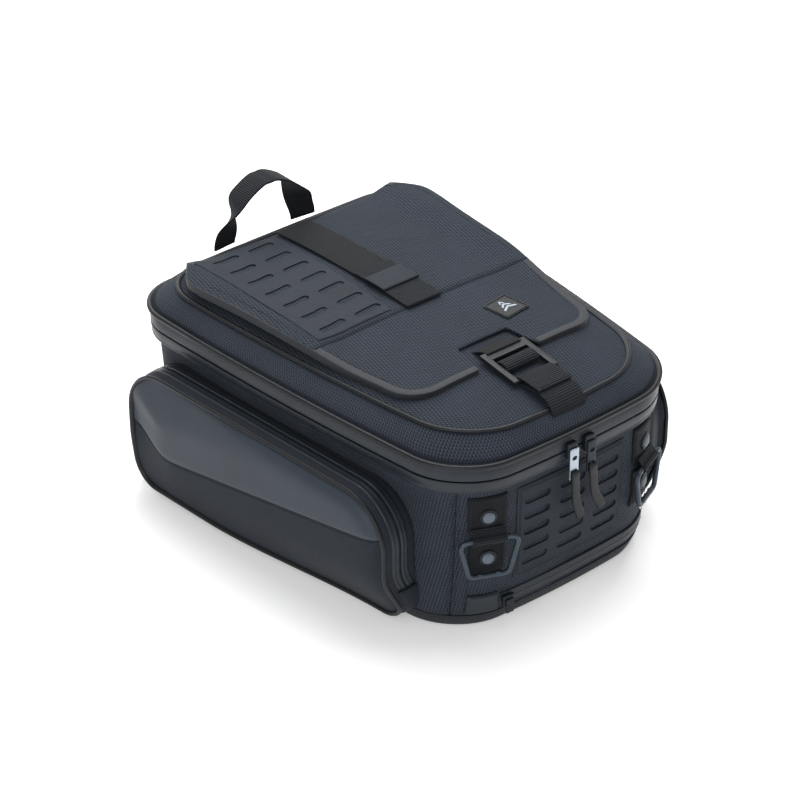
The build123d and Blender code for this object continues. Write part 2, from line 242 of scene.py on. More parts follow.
def fix_normals(obj):
    """Faces all point outwards."""
    bm = bmesh.new()
    bm.from_mesh(obj.data)
    bmesh.ops.recalc_face_normals(bm, faces=bm.faces)
    bm.to_mesh(obj.data)
    bm.free()


def apply_modifiers(obj):
    graph = bpy.context.evaluated_depsgraph_get()
    mesh = bpy.data.meshes.new_from_object(obj.evaluated_get(graph))
    obj.modifiers.clear()
    obj.data = mesh


def bevelled(node, width, material, body, slot, segments=3):
    """Copy of a CAD node with softened edges, which stands for it."""
    obj = add_object(node + "_shape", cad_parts[node].data.copy())
    bm = bmesh.new()
    bm.from_mesh(obj.data)
    bmesh.ops.remove_doubles(bm, verts=bm.verts, dist=1e-6)
    bmesh.ops.dissolve_limit(bm, angle_limit=math.radians(1), verts=bm.verts, edges=bm.edges)
    bm.to_mesh(obj.data)
    bm.free()
    soft = obj.modifiers.new("soft", "BEVEL")
    soft.width = width * MM
    soft.segments = segments
    soft.limit_method = "ANGLE"
    soft.angle_limit = math.radians(35)
    soft.use_clamp_overlap = True
    apply_modifiers(obj)
    obj.data.materials.clear()
    obj.data.materials.append(material)
    obj.data.polygons.foreach_set("use_smooth", [True] * len(obj.data.polygons))
    sharpen(obj, 40)
    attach(obj, body)
    return label(obj, slot, node)


def cut(obj, cutters):
    """Cuts closed meshes, given as (verts, faces) in millimetres, out of a piece."""
    verts, faces = [], []
    for points, sides in cutters:
        base = len(verts)
        verts += [tuple(np.asarray(p, float) * MM) for p in points]
        faces += [tuple(i + base for i in side) for side in sides]
    mesh = bpy.data.meshes.new("cutter")
    mesh.from_pydata(verts, [], faces)
    tool = add_object("cutter", mesh)
    fix_normals(tool)
    hole = obj.modifiers.new("hole", "BOOLEAN")
    hole.operation = "DIFFERENCE"
    hole.solver = "EXACT"
    hole.object = tool
    bpy.context.view_layer.update()
    apply_modifiers(obj)
    bpy.data.objects.remove(tool)
    sharpen(obj, 45)


def prism_faces(n):
    """Faces of a prism whose n lower points come before its n upper ones."""
    sides = [(i, (i + 1) % n, n + (i + 1) % n, n + i) for i in range(n)]
    return [tuple(range(n))[::-1], tuple(range(n, 2 * n))] + sides


def slot_prism(centre, along, across, through, length=SLOT_LENGTH, width=SLOT_WIDTH):
    """Closed round-ended prism for a laser-cut slot."""
    half, r = (length - width) / 2, width / 2
    loop = []
    for end in (1, -1):
        for k in range(7):
            a = math.radians(-90 + 30 * k)
            loop.append((end * (half + r * math.cos(a)), end * r * math.sin(a)))
    c, a, b, t = (np.array(x, float) for x in (centre, along, across, through))
    verts = [c + a * x + b * y + t * s for s in (-CUT_DEPTH / 2, CUT_DEPTH / 2) for x, y in loop]
    return verts, prism_faces(len(loop))


def stitches(name, lines, body="body"):
    """Rows of thread stitches. Each line is a list of (point, normal) pairs in millimetres."""
    verts, faces = [], []
    n = STITCH_SIDES
    for line in lines:
        points = np.array([p for p, _ in line], float)
        outs = np.array([o for _, o in line], float)
        run = distances(points)

        def at(s, values):
            return np.array([np.interp(s, run, values[:, k]) for k in range(3)])

        for s in np.arange(STITCH_PITCH, run[-1] - STITCH_PITCH * 0.5, STITCH_PITCH):
            p, q, o = at(s, points), at(s + 0.5, points), at(s, outs)
            t = (q - p) / max(np.linalg.norm(q - p), 1e-9)
            o = o / np.linalg.norm(o)
            w = np.cross(t, o)
            base = len(verts)
            for along, fat, lift in STITCH_RINGS:
                for k in range(n):
                    a = 2 * math.pi * k / n
                    ring = w * math.cos(a) + o * math.sin(a)
                    centre = p + t * along * STITCH_LENGTH + o * lift
                    verts.append(centre + ring * STITCH_RADIUS * fat)
            for r in range(len(STITCH_RINGS) - 1):
                for k in range(n):
                    a, b = base + r * n + k, base + r * n + (k + 1) % n
                    faces.append((a, b, b + n, a + n))
            last = base + n * (len(STITCH_RINGS) - 1)
            faces.append(tuple(base + k for k in range(n))[::-1])
            faces.append(tuple(last + k for k in range(n)))
    return new_piece(name, verts, faces, thread, None, body)


# ---- plan outlines ---------------------------------------------------------------------------
SIDE_STEPS = 64
CORNER_STEPS = 14
CIRCLE = 0.5523


def bowed(p, q, sag, start, end):
    """Points of a bowed side from p to q, from distance start to length - end."""
    p, q = np.array(p, float), np.array(q, float)
    chord = q - p
    length = np.hypot(*chord)
    out = np.array([chord[1], -chord[0]]) / length
    t = np.linspace(start / length, 1 - end / length, SIDE_STEPS)[:, None]
    return p + chord * t + out * (4 * sag * t * (1 - t))


def outline(section, grow=0.0):
    """Rounded trapezoid, counter-clockwise from the middle of the rear, as (N, 2) points."""
    _, hr, hf, yr, yf = section
    hr, hf, yr, yf = hr + grow, hf + grow, yr + grow, yf + grow
    rr, rf = CORNER_CUT_REAR + grow, CORNER_CUT_FRONT + grow
    bl, fl, fr, br = (-hr, yr), (-hf, -yf), (hf, -yf), (hr, yr)
    sides = [
        bowed(bl, fl, BOW_SIDE, rr, rf),
        bowed(fl, fr, BOW_FRONT, rf, rf),
        bowed(fr, br, BOW_SIDE, rf, rr),
        bowed(br, bl, BOW_REAR, rr, rr),
    ]
    corners = [fl, fr, br, bl]
    points = []
    for i, side in enumerate(sides):
        points += list(side)
        nxt = sides[(i + 1) % 4][0]
        a, c, b = side[-1], np.array(corners[i], float), nxt
        for t in np.linspace(0, 1, CORNER_STEPS + 2)[1:-1]:
            h1, h2 = a + (c - a) * CIRCLE, b + (c - b) * CIRCLE
            points.append(
                (1 - t) ** 3 * a + 3 * t * (1 - t) ** 2 * h1
                + 3 * t * t * (1 - t) * h2 + t ** 3 * b
            )
    points = np.array(points)
    return np.roll(points, SIDE_STEPS // 2 + CORNER_STEPS, axis=0)


def at_height(sections, z):
    """Section at height z, straight between the given ones."""
    zs = [s[0] for s in sections]
    return tuple(np.interp(z, zs, [s[k] for s in sections]) for k in range(5))


def soft_noise(p, size, seed=0.0):
    return noise.noise(Vector((p[0] / size + seed, p[1] / size, p[2] / size)))


def wrinkle(grid, amount, size, closed=False, seed=0.0):
    """Slow unevenness of sewn fabric."""
    normal = normals_of(grid, closed)
    rows, cols = grid.shape[:2]
    out = grid.copy()
    for r in range(rows):
        for c in range(cols):
            out[r, c] += normal[r, c] * amount * soft_noise(grid[r, c], size, seed)
    return out


WALL = [BASE_SEAM, BELLY, NECK, RIM_LOW]
RING = len(outline(BELLY))
belly = outline(BELLY)


def column_where(test):
    return next(i for i in range(RING) if test(belly[i]))


SEAM_FRONT = 114
SEAM_REAR = 128
col_rear_left = column_where(lambda p: p[1] > 0 and p[0] < -SEAM_REAR)
col_front_left = column_where(lambda p: p[1] < 0 and p[0] > -SEAM_FRONT)
col_front_right = column_where(lambda p: p[1] < 0 and p[0] > SEAM_FRONT)
col_rear_right = column_where(lambda p: p[1] > 0 and p[0] < SEAM_REAR and p[0] > 0)


def end_edge(section, end, grow=0.0):
    """The -Y (end -1) or +Y (end +1) half of an outline, in order of x."""
    flat = outline(section, grow)
    pick = flat[(flat[:, 1] * end) > 0]
    return pick[np.argsort(pick[:, 0])]


def wall_point(x, z, end, extra=0.0):
    """Point and outward normal on the -Y (end -1) or +Y (end +1) wall at x, z."""
    edge = end_edge(at_height(WALL, z), end, extra)
    y = np.interp(x, edge[:, 0], edge[:, 1])
    y2 = np.interp(x + 0.5, edge[:, 0], edge[:, 1])
    tangent = np.array([0.5, y2 - y, 0])
    out = np.array([tangent[1], -tangent[0], 0]) * (1 if end < 0 else -1)
    return np.array([x, y, z]), out / np.linalg.norm(out)


def wall_patch(x0, x1, z0, z1, end, lift, step):
    """Grid that follows an end wall, lifted off it, with its normals outwards."""
    xs = np.linspace(x0, x1, max(3, int(abs(x1 - x0) / step) + 1))
    zs = np.linspace(z0, z1, max(3, int(abs(z1 - z0) / step) + 1))
    if end > 0:
        xs = xs[::-1]
    rows = []
    for z in zs:
        edge = end_edge(at_height(WALL, z), end, lift)
        rows.append(np.c_[xs, np.interp(xs, edge[:, 0], edge[:, 1]), np.full(len(xs), z)])
    return np.array(rows)


# ---- lid top and flap surfaces ---------------------------------------------------------------
seam = outline(LID_SEAM)
seam_angle = np.mod(np.unwrap(np.arctan2(seam[:, 1], seam[:, 0])), 2 * math.pi)
seam_order = np.argsort(seam_angle)
seam_radius = np.hypot(seam[:, 0], seam[:, 1])[seam_order]
seam_angle = seam_angle[seam_order]


def lid_height(x, y):
    """Height of the padded lid top."""
    angle = np.mod(np.arctan2(y, x), 2 * math.pi)
    edge = np.interp(angle, seam_angle, seam_radius, period=2 * math.pi)
    t = np.minimum(np.hypot(x, y) / edge, 1.0)
    return LID_SEAM[0] + DOME_SHOULDER * (1 - t ** 7) + DOME_CROWN * (1 - t ** 2)


# ---- materials -------------------------------------------------------------------------------
def linear(value):
    v = value / 255
    return v / 12.92 if v <= 0.04045 else ((v + 0.055) / 1.055) ** 2.4


def tone(r, g, b):
    return (0.43 * linear(r), 0.48 * linear(g), 0.54 * linear(b), 1.0)


class Finish:
    """A Principled material with small helpers for its node tree."""

    def __init__(self, name, rough=0.6, metallic=0.0, sheen=0.0, specular=0.5):
        self.mat = bpy.data.materials.new(name)
        self.mat.use_nodes = True
        self.tree = self.mat.node_tree
        self.shader = self.tree.nodes["Principled BSDF"]
        for socket, value in (
            ("Roughness", rough),
            ("Metallic", metallic),
            ("Sheen Weight", sheen),
            ("Sheen Roughness", 0.45),
            ("Specular IOR Level", specular),
        ):
            self.shader.inputs[socket].default_value = value
        self.place = self.tree.nodes.new("ShaderNodeTexCoord")
        self.where = self.place.outputs["Object"]

    def cloth_space(self):
        layer = self.tree.nodes.new("ShaderNodeUVMap")
        layer.uv_map = "cloth"
        self.weave_at = layer.outputs["UV"]

    def math(self, kind, a, b=None):
        node = self.tree.nodes.new("ShaderNodeMath")
        node.operation = kind
        for socket, value in zip(node.inputs, (a, b)):
            if value is None:
                continue
            if isinstance(value, (int, float)):
                socket.default_value = value
            else:
                self.tree.links.new(value, socket)
        return node.outputs[0]

    def noise(self, size, detail=3.0, where=None, rough=0.5):
        node = self.tree.nodes.new("ShaderNodeTexNoise")
        node.inputs["Scale"].default_value = 1 / (size * MM)
        node.inputs["Detail"].default_value = detail
        node.inputs["Roughness"].default_value = rough
        self.tree.links.new(where or self.where, node.inputs["Vector"])
        return node.outputs["Fac"]

    def cells(self, size, where=None):
        node = self.tree.nodes.new("ShaderNodeTexVoronoi")
        node.inputs["Scale"].default_value = 1 / (size * MM)
        self.tree.links.new(where or self.where, node.inputs["Vector"])
        return node.outputs["Distance"]

    def split(self, vector):
        node = self.tree.nodes.new("ShaderNodeSeparateXYZ")
        self.tree.links.new(vector, node.inputs[0])
        return node.outputs

    def spread(self, value, low, high, to_low=0.0, to_high=1.0):
        node = self.tree.nodes.new("ShaderNodeMapRange")
        self.tree.links.new(value, node.inputs["Value"])
        numbers = (("From Min", low), ("From Max", high), ("To Min", to_low), ("To Max", to_high))
        for socket, number in numbers:
            node.inputs[socket].default_value = number
        return node.outputs["Result"]

    def colours(self, value, dark, light):
        node = self.tree.nodes.new("ShaderNodeMix")
        node.data_type = "RGBA"
        self.tree.links.new(value, node.inputs["Factor"])
        node.inputs["A"].default_value = dark
        node.inputs["B"].default_value = light
        self.tree.links.new(node.outputs["Result"], self.shader.inputs["Base Color"])

    def roughness(self, value, low, high):
        result = self.spread(value, 0, 1, low, high)
        self.tree.links.new(result, self.shader.inputs["Roughness"])

    def bump(self, heights):
        """heights: (value, depth in millimetres) pairs, laid one over the other."""
        last = None
        for value, depth in heights:
            node = self.tree.nodes.new("ShaderNodeBump")
            node.inputs["Strength"].default_value = 1.0
            node.inputs["Distance"].default_value = depth * MM
            self.tree.links.new(value, node.inputs["Height"])
            if last is not None:
                self.tree.links.new(last, node.inputs["Normal"])
            last = node.outputs["Normal"]
        self.tree.links.new(last, self.shader.inputs["Normal"])


def woven(name, dark, light, across=1.0, along=2.0, depth=0.4, rough=0.74, sheen=0.03, slant=0.35):
    """Plain weave of raised threads, each row a little shifted, which reads as slanted lines."""
    f = Finish(name, rough=rough, sheen=sheen, specular=0.2)
    f.cloth_space()
    u, v, _ = f.split(f.weave_at)
    wobble = f.math("MULTIPLY", f.noise(9, 2.0, f.weave_at), 0.0006)
    shear = f.math("MULTIPLY", v, slant)
    a = f.math("ADD", f.math("ADD", u, shear), wobble)
    waves = []
    for line, pitch in ((a, across), (v, along)):
        waves.append(f.math("SINE", f.math("MULTIPLY", line, math.pi / (pitch * MM))))
    over = f.math("MULTIPLY", waves[0], waves[1])
    hill = f.math("POWER", f.math("ABSOLUTE", over), 0.6)
    # lit marks the cells where one set of threads lies on top; in the colour they are painted
    # lighter and the rest darker, as painted highlight and shade on the threads.
    lit = f.spread(over, -1, 1)
    patchy = f.noise(38, 4.0)
    fine = f.noise(0.9, 2.0)
    # Colour: the painted thread highlight and shade, plus patchy noise for the cloth's own uneven
    # tone.
    mixed = f.math("ADD", f.math("MULTIPLY", lit, 0.8), f.math("MULTIPLY", patchy, 0.25))
    f.colours(mixed, dark, light)
    f.roughness(lit, rough + 0.08, rough - 0.12)
    f.bump([(hill, depth), (fine, 0.06)])
    return f.mat


def ribbed(name, dark, light, pitch=1.9, depth=0.4, rough=0.7):
    """Webbing: raised ribs across the strap and fine threads along them."""
    f = Finish(name, rough=rough, sheen=0.03, specular=0.2)
    f.cloth_space()
    u, v, _ = f.split(f.weave_at)
    rib = f.math("SINE", f.math("MULTIPLY", v, 2 * math.pi / (pitch * MM)))
    thread = f.math("SINE", f.math("MULTIPLY", u, 2 * math.pi / (1.3 * MM)))
    hill = f.spread(rib, -1, 1)
    fine = f.math("MULTIPLY", f.spread(thread, -1, 1), hill)
    cloud = f.noise(12, 3.0)
    # Colour: rib tops painted lighter and grooves darker (painted highlight and shade), mixed with
    # patchy noise for the webbing's own uneven tone.
    mixed = f.math("ADD", f.math("MULTIPLY", hill, 0.6), f.math("MULTIPLY", cloud, 0.4))
    f.colours(mixed, dark, light)
    f.bump([(hill, depth), (fine, depth * 0.4)])
    return f.mat


def skin(name, dark, light, rough, grain=0.7, depth=0.03, sheen=0.0, specular=0.34, patchy=30):
    """Smooth polymer skin with a fine leather-like grain."""
    f = Finish(name, rough=rough, sheen=sheen, specular=specular)
    cell = f.cells(grain)
    cloud = f.noise(patchy, 3.0)
    mixed = f.math("ADD", f.math("MULTIPLY", cloud, 0.8), f.math("MULTIPLY", cell, 0.35))
    f.colours(mixed, dark, light)
    f.roughness(f.noise(grain * 9, 2.0), rough - 0.06, rough + 0.08)
    f.bump([(cell, depth), (f.noise(grain * 3, 2.0), depth * 1.5)])
    return f.mat


def metal(name, dark, light, rough, metallic=1.0):
    f = Finish(name, rough=rough, metallic=metallic)
    cloud = f.noise(4, 4.0)
    f.colours(cloud, dark, light)
    f.roughness(f.noise(1.2, 3.0), rough - 0.07, rough + 0.1)
    f.bump([(f.noise(0.5, 2.0), 0.012)])
    return f.mat


ballistic = woven(
    "ballistic_fabric", tone(20, 23, 28), tone(94, 101, 112), across=1.5, along=2.8, depth=0.6
)
fine_twill = woven(
    "pocket_fabric", tone(26, 29, 34), tone(66, 71, 80), across=1.0, along=1.2, depth=0.2, slant=0.6
)
lining = woven(
    "lining_fabric", tone(40, 42, 46), tone(70, 72, 78), across=0.5, along=0.5, depth=0.08, slant=0
)
webbing = ribbed("webbing_ribs", tone(20, 22, 25), tone(56, 60, 65), pitch=2.2, depth=0.5)
flat_webbing = ribbed("webbing_flat", tone(18, 20, 22), tone(36, 39, 43), pitch=1.3, depth=0.15)
binding = skin("edge_binding", tone(36, 39, 43), tone(54, 58, 63), 0.62, grain=0.5, sheen=0.2)
rubberised = skin(
    "rubberised_panel", tone(46, 51, 57), tone(64, 70, 78), 0.68, grain=0.45, specular=0.24
)
moulded = skin(
    "moulded_foam_skin", tone(60, 66, 73), tone(80, 87, 96), 0.52, grain=0.4, depth=0.02, patchy=60
)
coated = skin("coated_zip_tape", tone(38, 42, 47), tone(60, 65, 72), 0.38, grain=0.9, patchy=14)
base_rubber = skin("coated_fabric", tone(30, 32, 36), tone(48, 51, 57), 0.55, grain=0.6, depth=0.05)
piping_skin = skin("piping_skin", tone(20, 22, 25), tone(38, 41, 46), 0.42, grain=0.5)
thread = skin("thread", tone(34, 36, 40), tone(66, 70, 76), 0.7, grain=0.3)
black_metal = metal("black_metal", tone(44, 47, 51), tone(78, 82, 87), 0.42, metallic=0.7)
ring_metal = metal("ring_metal", tone(82, 88, 94), tone(110, 117, 124), 0.42, metallic=0.75)
bright_metal = metal("bright_metal", tone(232, 234, 236), tone(250, 251, 252), 0.3)
buckle_plastic = skin("buckle_plastic", tone(30, 32, 35), tone(46, 49, 53), 0.45, grain=0.4)
pull_rubber = skin("pull_rubber", tone(22, 23, 25), tone(38, 40, 43), 0.5, grain=0.5)
cap_skin = skin("rivet_cap", tone(122, 130, 136), tone(142, 150, 156), 0.45, grain=0.4)
stiffener = skin("stiffener", tone(44, 46, 50), tone(62, 64, 70), 0.6, grain=1.2)
patch_black = skin("patch_rubber", tone(26, 27, 30), tone(40, 42, 45), 0.5, grain=0.4)
patch_white = skin("patch_mark", tone(240, 240, 240), tone(252, 252, 252), 0.55, grain=0.4)


# ---- walls of the bag ------------------------------------------------------------------------
def on_ring(section, columns, grow=0.0, height=None):
    flat = outline(section, grow)
    wrap = np.vstack([flat, flat[:1]])
    at = np.mod(columns, RING)
    places = np.arange(RING + 1)
    x = np.interp(at, places, wrap[:, 0])
    y = np.interp(at, places, wrap[:, 1])
    return np.c_[x, y, np.full(len(x), section[0] if height is None else height)]


def stack(sections, heights, columns, grow=0.0):
    return np.array([on_ring(at_height(sections, z), columns, grow) for z in heights])


def edge_columns(start, stop):
    fine = np.array([0, 0.2, 0.45, 0.8])
    middle = np.arange(start + 1.4, stop - 1.2, 1.0)
    return np.concatenate([start + fine, middle, (stop - fine)[::-1]])


def tuck_edges(grid, depth, reach):
    """Edges turn in towards the seams, over the given reach."""
    normal = normals_of(grid)
    rows, cols = grid.shape[:2]

    def fade(run):
        return np.exp(-((run / reach) ** 2)) + np.exp(-(((run[-1] - run) / reach) ** 2))

    run, rise = distances(grid[rows // 2]), distances(grid[:, cols // 2])
    amount = np.maximum(fade(run)[None, :], fade(rise)[:, None])
    return grid - normal * (depth * amount)[:, :, None]


def ring_at(sections, z, grow=0.0):
    """Closed ring of points round the bag at height z."""
    return on_ring(at_height(sections, z), np.arange(RING), grow, z)


PANELS = {
    "side_panel_left": (col_rear_left, col_front_left),
    "front_panel": (col_front_left, col_front_right),
    "side_panel_right": (col_front_right, col_rear_right),
    "rear_panel": (col_rear_right, col_rear_left + RING),
}
wall_heights = np.concatenate([[12.5, 13.2, 14.2, 16], np.arange(20, 146, 4.5), [147.5, 149, 150]])


def seam_lines(columns, offsets, heights, sections):
    """Rows of (point, normal) beside a vertical seam."""
    lines = []
    for column in columns:
        for shift in offsets:
            line = []
            for z in heights:
                section = at_height(sections, z)
                p = on_ring(section, np.array([column, column + 0.5]), 0.1)
                t = p[1] - p[0]
                t /= np.linalg.norm(t)
                line.append((p[0] + t * shift, np.array([t[1], -t[0], 0])))
            lines.append(line)
    return lines


def build_walls():
    for name, (start, stop) in PANELS.items():
        grid = stack([BASE_LOW] + WALL, wall_heights, edge_columns(start, stop))
        for amount, size, seed in ((0.9, 55, 3.0), (0.35, 17, 9.0)):
            grid = wrinkle(grid, amount, size, seed=seed)
        panel = cloth(name + "_cloth", tuck_edges(grid, 1.3, 2.2), 3, ballistic)
        label(panel, "ballistic_fabric", name)
    heights = np.arange(17, 148, 3.0)
    columns = [col_rear_left, col_front_left, col_front_right, col_rear_right]
    rows = seam_lines(columns, (3.0, -3.0), heights, WALL)
    for column, shift in ((col_front_left, 13.0), (col_front_right, -13.0)):
        rows += seam_lines([column], (shift,), heights, WALL)
    stitches("wall_stitches", rows)


def closed_loft(name, rings, material, body="body", from_above=True):
    """Solid through closed rings, with its first and last ring capped."""
    verts = np.concatenate(rings)
    n = len(rings[0])
    faces, uvs = [], []
    heights = [0.0]
    for a, b in zip(rings[:-1], rings[1:]):
        heights.append(heights[-1] + float(np.mean(np.linalg.norm(b - a, axis=1))))
    run = distances(np.vstack([rings[0], rings[0][:1]]))

    def uv(r, c):
        if from_above:
            return tuple(rings[r][c % n][:2] * MM)
        return (run[c] * MM, heights[r] * MM)

    for r in range(len(rings) - 1):
        for c in range(n):
            d = (c + 1) % n
            faces.append((r * n + c, r * n + d, (r + 1) * n + d, (r + 1) * n + c))
            uvs.append([uv(r, c), uv(r, c + 1), uv(r + 1, c + 1), uv(r + 1, c)])
    faces.append(tuple(range(n))[::-1])
    uvs.append([uv(0, c) for c in range(n)][::-1])
    last = (len(rings) - 1) * n
    faces.append(tuple(range(last, last + n)))
    uvs.append([uv(len(rings) - 1, c) for c in range(n)])
    obj = new_piece(name, verts, faces, material, uvs, body)
    fix_normals(obj)
    return obj


BASE_CURVE = 5
BASE_STITCH_Z = 11.0
BASE_SECTIONS = [BASE_LOW, BASE_SEAM]
# (height, lift): up the outside of the tray, over its rim and down inside it.
BASE_PROFILE = (
    (8, 0.1), (11, 0.2), (12.6, 0.6), (13.6, 0.9), (14.6, 0.6), (14.9, -0.6), (14.6, -2.6),
    (4.0, -4.0),
)


def build_base():
    rings = []
    for degrees in (90, 67.5, 45, 22.5, 0):
        a = math.radians(degrees)
        z = BASE_CURVE - BASE_CURVE * math.sin(a)
        rings.append(ring_at(BASE_SECTIONS, z, -BASE_CURVE * (1 - math.cos(a))))
    rings += [ring_at(BASE_SECTIONS, z, lift) for z, lift in BASE_PROFILE]
    tray = closed_loft("base_shell", rings, base_rubber, from_above=False)
    sharpen(tray, 50)
    label(tray, "coated_fabric", "base_tray")
    section = at_height(BASE_SECTIONS, BASE_STITCH_Z)
    points = on_ring(section, np.arange(RING + 1), 0.35, BASE_STITCH_Z)
    centre = np.array([0, 0, BASE_STITCH_Z])
    stitches("base_stitches", [[(p, (p - centre) / np.linalg.norm(p - centre)) for p in points]])


# (height, lift) pairs across the two halves of the main zip's coated tape.
ZIP_BANDS = {
    "lower": ("body", (
        (149.6, 0.9), (150.2, 2.0), (151.2, 2.3), (152.2, 1.9), (153.2, 2.3), (157, 2.7),
        (160, 3.1), (161.2, 3.0), (161.75, 2.2),
    )),
    "upper": ("lid", (
        (162.2, 2.2), (162.8, 3.0), (164, 3.1), (168, 2.7), (171.4, 2.2), (172.4, 1.8),
        (173.4, 2.1), (174.4, 1.0),
    )),
}


def build_zip_bands():
    rim = [RIM_LOW, ZIP_RIM, LID_RIM, LID_EDGE]
    for part, (body, profile) in ZIP_BANDS.items():
        grid = np.array([ring_at(rim, z, lift) for z, lift in profile])
        tape = cloth("zip_band_" + part, grid, 2.6, coated, body, closed=True)
        label(tape, "zip_tape", "zip_tape_" + part)


def loop_path(section, grow, height):
    ring = on_ring(section, np.arange(RING), grow, height)
    t = np.roll(ring, -1, 0) - np.roll(ring, 1, 0)
    t /= np.linalg.norm(t, axis=1, keepdims=True)
    outs = np.c_[t[:, 1], -t[:, 0], np.zeros(RING)]
    return list(zip(ring, outs))


def bead(radius, flat, count=14):
    """Round bead with a sewn flange at its root."""
    points = []
    for k in range(count):
        a = math.radians(-150 + 300 * k / (count - 1))
        points.append((radius * math.sin(a), radius * math.cos(a)))
    return points + [(flat, -radius * 1.3), (-flat, -radius * 1.3)]


LID_WALL_LEVELS = (174.2, 175.2, 176.4, 178.6, 179.6, 182, 185, 188, 191, 193.4, 194.6, 195.2)
LID_PAD_SHARES = (1.0, 0.992, 0.98, 0.96, 0.93, 0.9, 0.86, 0.8, 0.72, 0.62, 0.5, 0.36, 0.2, 0.06)
LID_PAD_UNDER = 195.2


def lid_bead(name, section, grow, height, radius, flange):
    """Closed run of piping round the lid."""
    path = loop_path(section, grow, height)
    return sweep(name, path, bead(radius, flange), piping_skin, "lid", closed=True)


def build_lid():
    label(lid_bead("lid_edge_piping", LID_EDGE, 0.6, 176.6, 2.5, 1.2), "piping", "lid_piping")

    rings = []
    for z in LID_WALL_LEVELS:
        share = min(max((z - 178) / 17, 0), 1)
        lift = 3.2 * math.sin(math.pi * share) ** 0.8
        if z == 178.6:
            lift -= 1.0
        if z == LID_WALL_LEVELS[-1]:
            lift -= 0.9
        rings.append(ring_at([LID_RIM, LID_EDGE, LID_SEAM, LID_FIELD], z, lift))
    grid = wrinkle(np.array(rings), 0.6, 40, closed=True, seed=5.0)
    wall = cloth("lid_wall_cloth", grid, 3, ballistic, "lid", closed=True)
    label(wall, "ballistic_fabric", "lid_wall")

    edge = outline(LID_SEAM)
    top = []
    for share in LID_PAD_SHARES:
        p = edge * share
        top.append(np.c_[p, lid_height(p[:, 0], p[:, 1])])
    top[0][:, 2] -= 0.8
    for ring in top[1:]:
        for point in ring:
            point[2] += 0.7 * soft_noise(point, 48, 11.0)
    under = [np.c_[edge * t, np.full(RING, LID_PAD_UNDER)] for t in (0.06, 0.985)]
    pad = closed_loft("lid_top_pad", under + top, ballistic, "lid")
    label(pad, "ballistic_fabric", "lid_top_panel")

    label(lid_bead("lid_seam_piping", LID_SEAM, 0.9, 195.6, 1.9, 0.9), "piping")
    return pad


# ---- flap ------------------------------------------------------------------------------------
FLAP_REAR = 178
FLAP_FRONT = -124
FLAP_SEAM = -10
FLAP_CORNER = 28
NOTCH_IN = 28
NOTCH_OUT = 34
NOTCH_BACK = -89
EDGE_PUFF = 7.2
FLAP_HALF = 110
# (y, half width) down the flap's outer edge.
WIDTH_AT = (
    (-130, 105), (-110, 108), (-86, 111), (-50, 118), (10, 127), (90, 133), (140, 139),
    (158, 138), (168, 132), (178, 110),
)


def smooth(t):
    t = np.clip(t, 0, 1)
    return t * t * (3 - 2 * t)


def flap_half(y):
    ys, widths = (np.array(column) for column in zip(*WIDTH_AT))
    spread = np.linspace(-16, 16, 9)
    return np.mean([np.interp(np.asarray(y) + s, ys, widths) for s in spread], axis=0)


def flap_end(x):
    """Where the flap's front edge lies, for a place x along it."""
    x = abs(x)
    if x < NOTCH_OUT + 1:
        share = float(smooth((x - NOTCH_IN + 1) / (NOTCH_OUT - NOTCH_IN + 2)))
        return NOTCH_BACK + (FLAP_FRONT - NOTCH_BACK) * share
    over = x - (FLAP_HALF - FLAP_CORNER)
    if over > 0:
        return FLAP_FRONT + FLAP_CORNER - math.sqrt(max(FLAP_CORNER ** 2 - over ** 2, 0))
    return float(FLAP_FRONT)


def flap_relief(x, y):
    """Soft unevenness of the flap: a valley beside the webbing and padding under the two fields."""
    x, y = np.asarray(x, float), np.asarray(y, float)
    back = smooth((y + 40) / 60)
    valley = -2.2 * np.exp(-(((x + 25) / 7) ** 2)) * back
    field = 1.3 * np.exp(-(((x + 78) / 34) ** 2)) * back + 1.0 * np.exp(-(((x - 72) / 40) ** 2))
    puff = EDGE_PUFF * smooth((np.abs(x) - 84) / 40) * smooth((y + 75) / 110)
    edge = 0.9 * smooth((np.abs(x) - 95) / 30) + puff
    return valley + field + edge


def flap_height(x, y):
    x, y = np.asarray(x, float), np.asarray(y, float)
    base = lid_height(0.92 * x, 0.92 * y) + FLAP_GAP + FLAP_THICK
    return np.maximum(base + flap_relief(x, y), lid_height(x, y) + FLAP_GAP + FLAP_THICK)


# Places across the flap, closest together at the notch and at the outer edge.
right_places = [0, 8, 16, 23, *range(26, 37), 39, 44, 52, 60, 68, 76, 82, 86, 90, 94, 97]
right_places += [100, 103, 105, 107, 108.4, 109.4, FLAP_HALF]
front_places = [-p for p in right_places[:0:-1]] + right_places
flap_shares = np.array(front_places) / FLAP_HALF


def flap_grid(y_low, y_high, steps, lift=0.0):
    """Grid of the flap's upper surface. y_low None means its front edge."""
    rows = []
    for r in np.linspace(0, 1, steps):
        row = []
        for place, share in zip(front_places, flap_shares):
            start = flap_end(place) if y_low is None else y_low
            y = start + (y_high - start) * r
            x = share * float(flap_half(y))
            row.append((x, y, 0))
        rows.append(row)
    grid = np.array(rows, float)
    grid[:, :, 2] = flap_height(grid[:, :, 0], grid[:, :, 1]) + lift
    for point in grid.reshape(-1, 3):
        point[2] += 0.45 * soft_noise(point, 34, 21.0)
    return grid


def flat_uv(grid):
    return grid[:, :, :2] * MM


def flap_edge_path(side):
    """Outer edge of the flap on one side, from its sewn end round the corner to the notch."""
    points = []
    for y in np.arange(FLAP_REAR, flap_end(FLAP_HALF), -5.0):
        points.append((side * float(flap_half(y)), y))
    for place in reversed([p for p in front_places if p > NOTCH_OUT - 1]):
        y = flap_end(place)
        points.append((side * place / FLAP_HALF * float(flap_half(y)), y))
    points = np.array(points)
    run = distances(points)
    at = np.arange(0, run[-1], 3.0)
    x, y = np.interp(at, run, points[:, 0]), np.interp(at, run, points[:, 1])
    return np.c_[x, y, flap_height(x, y) - FLAP_THICK / 2]


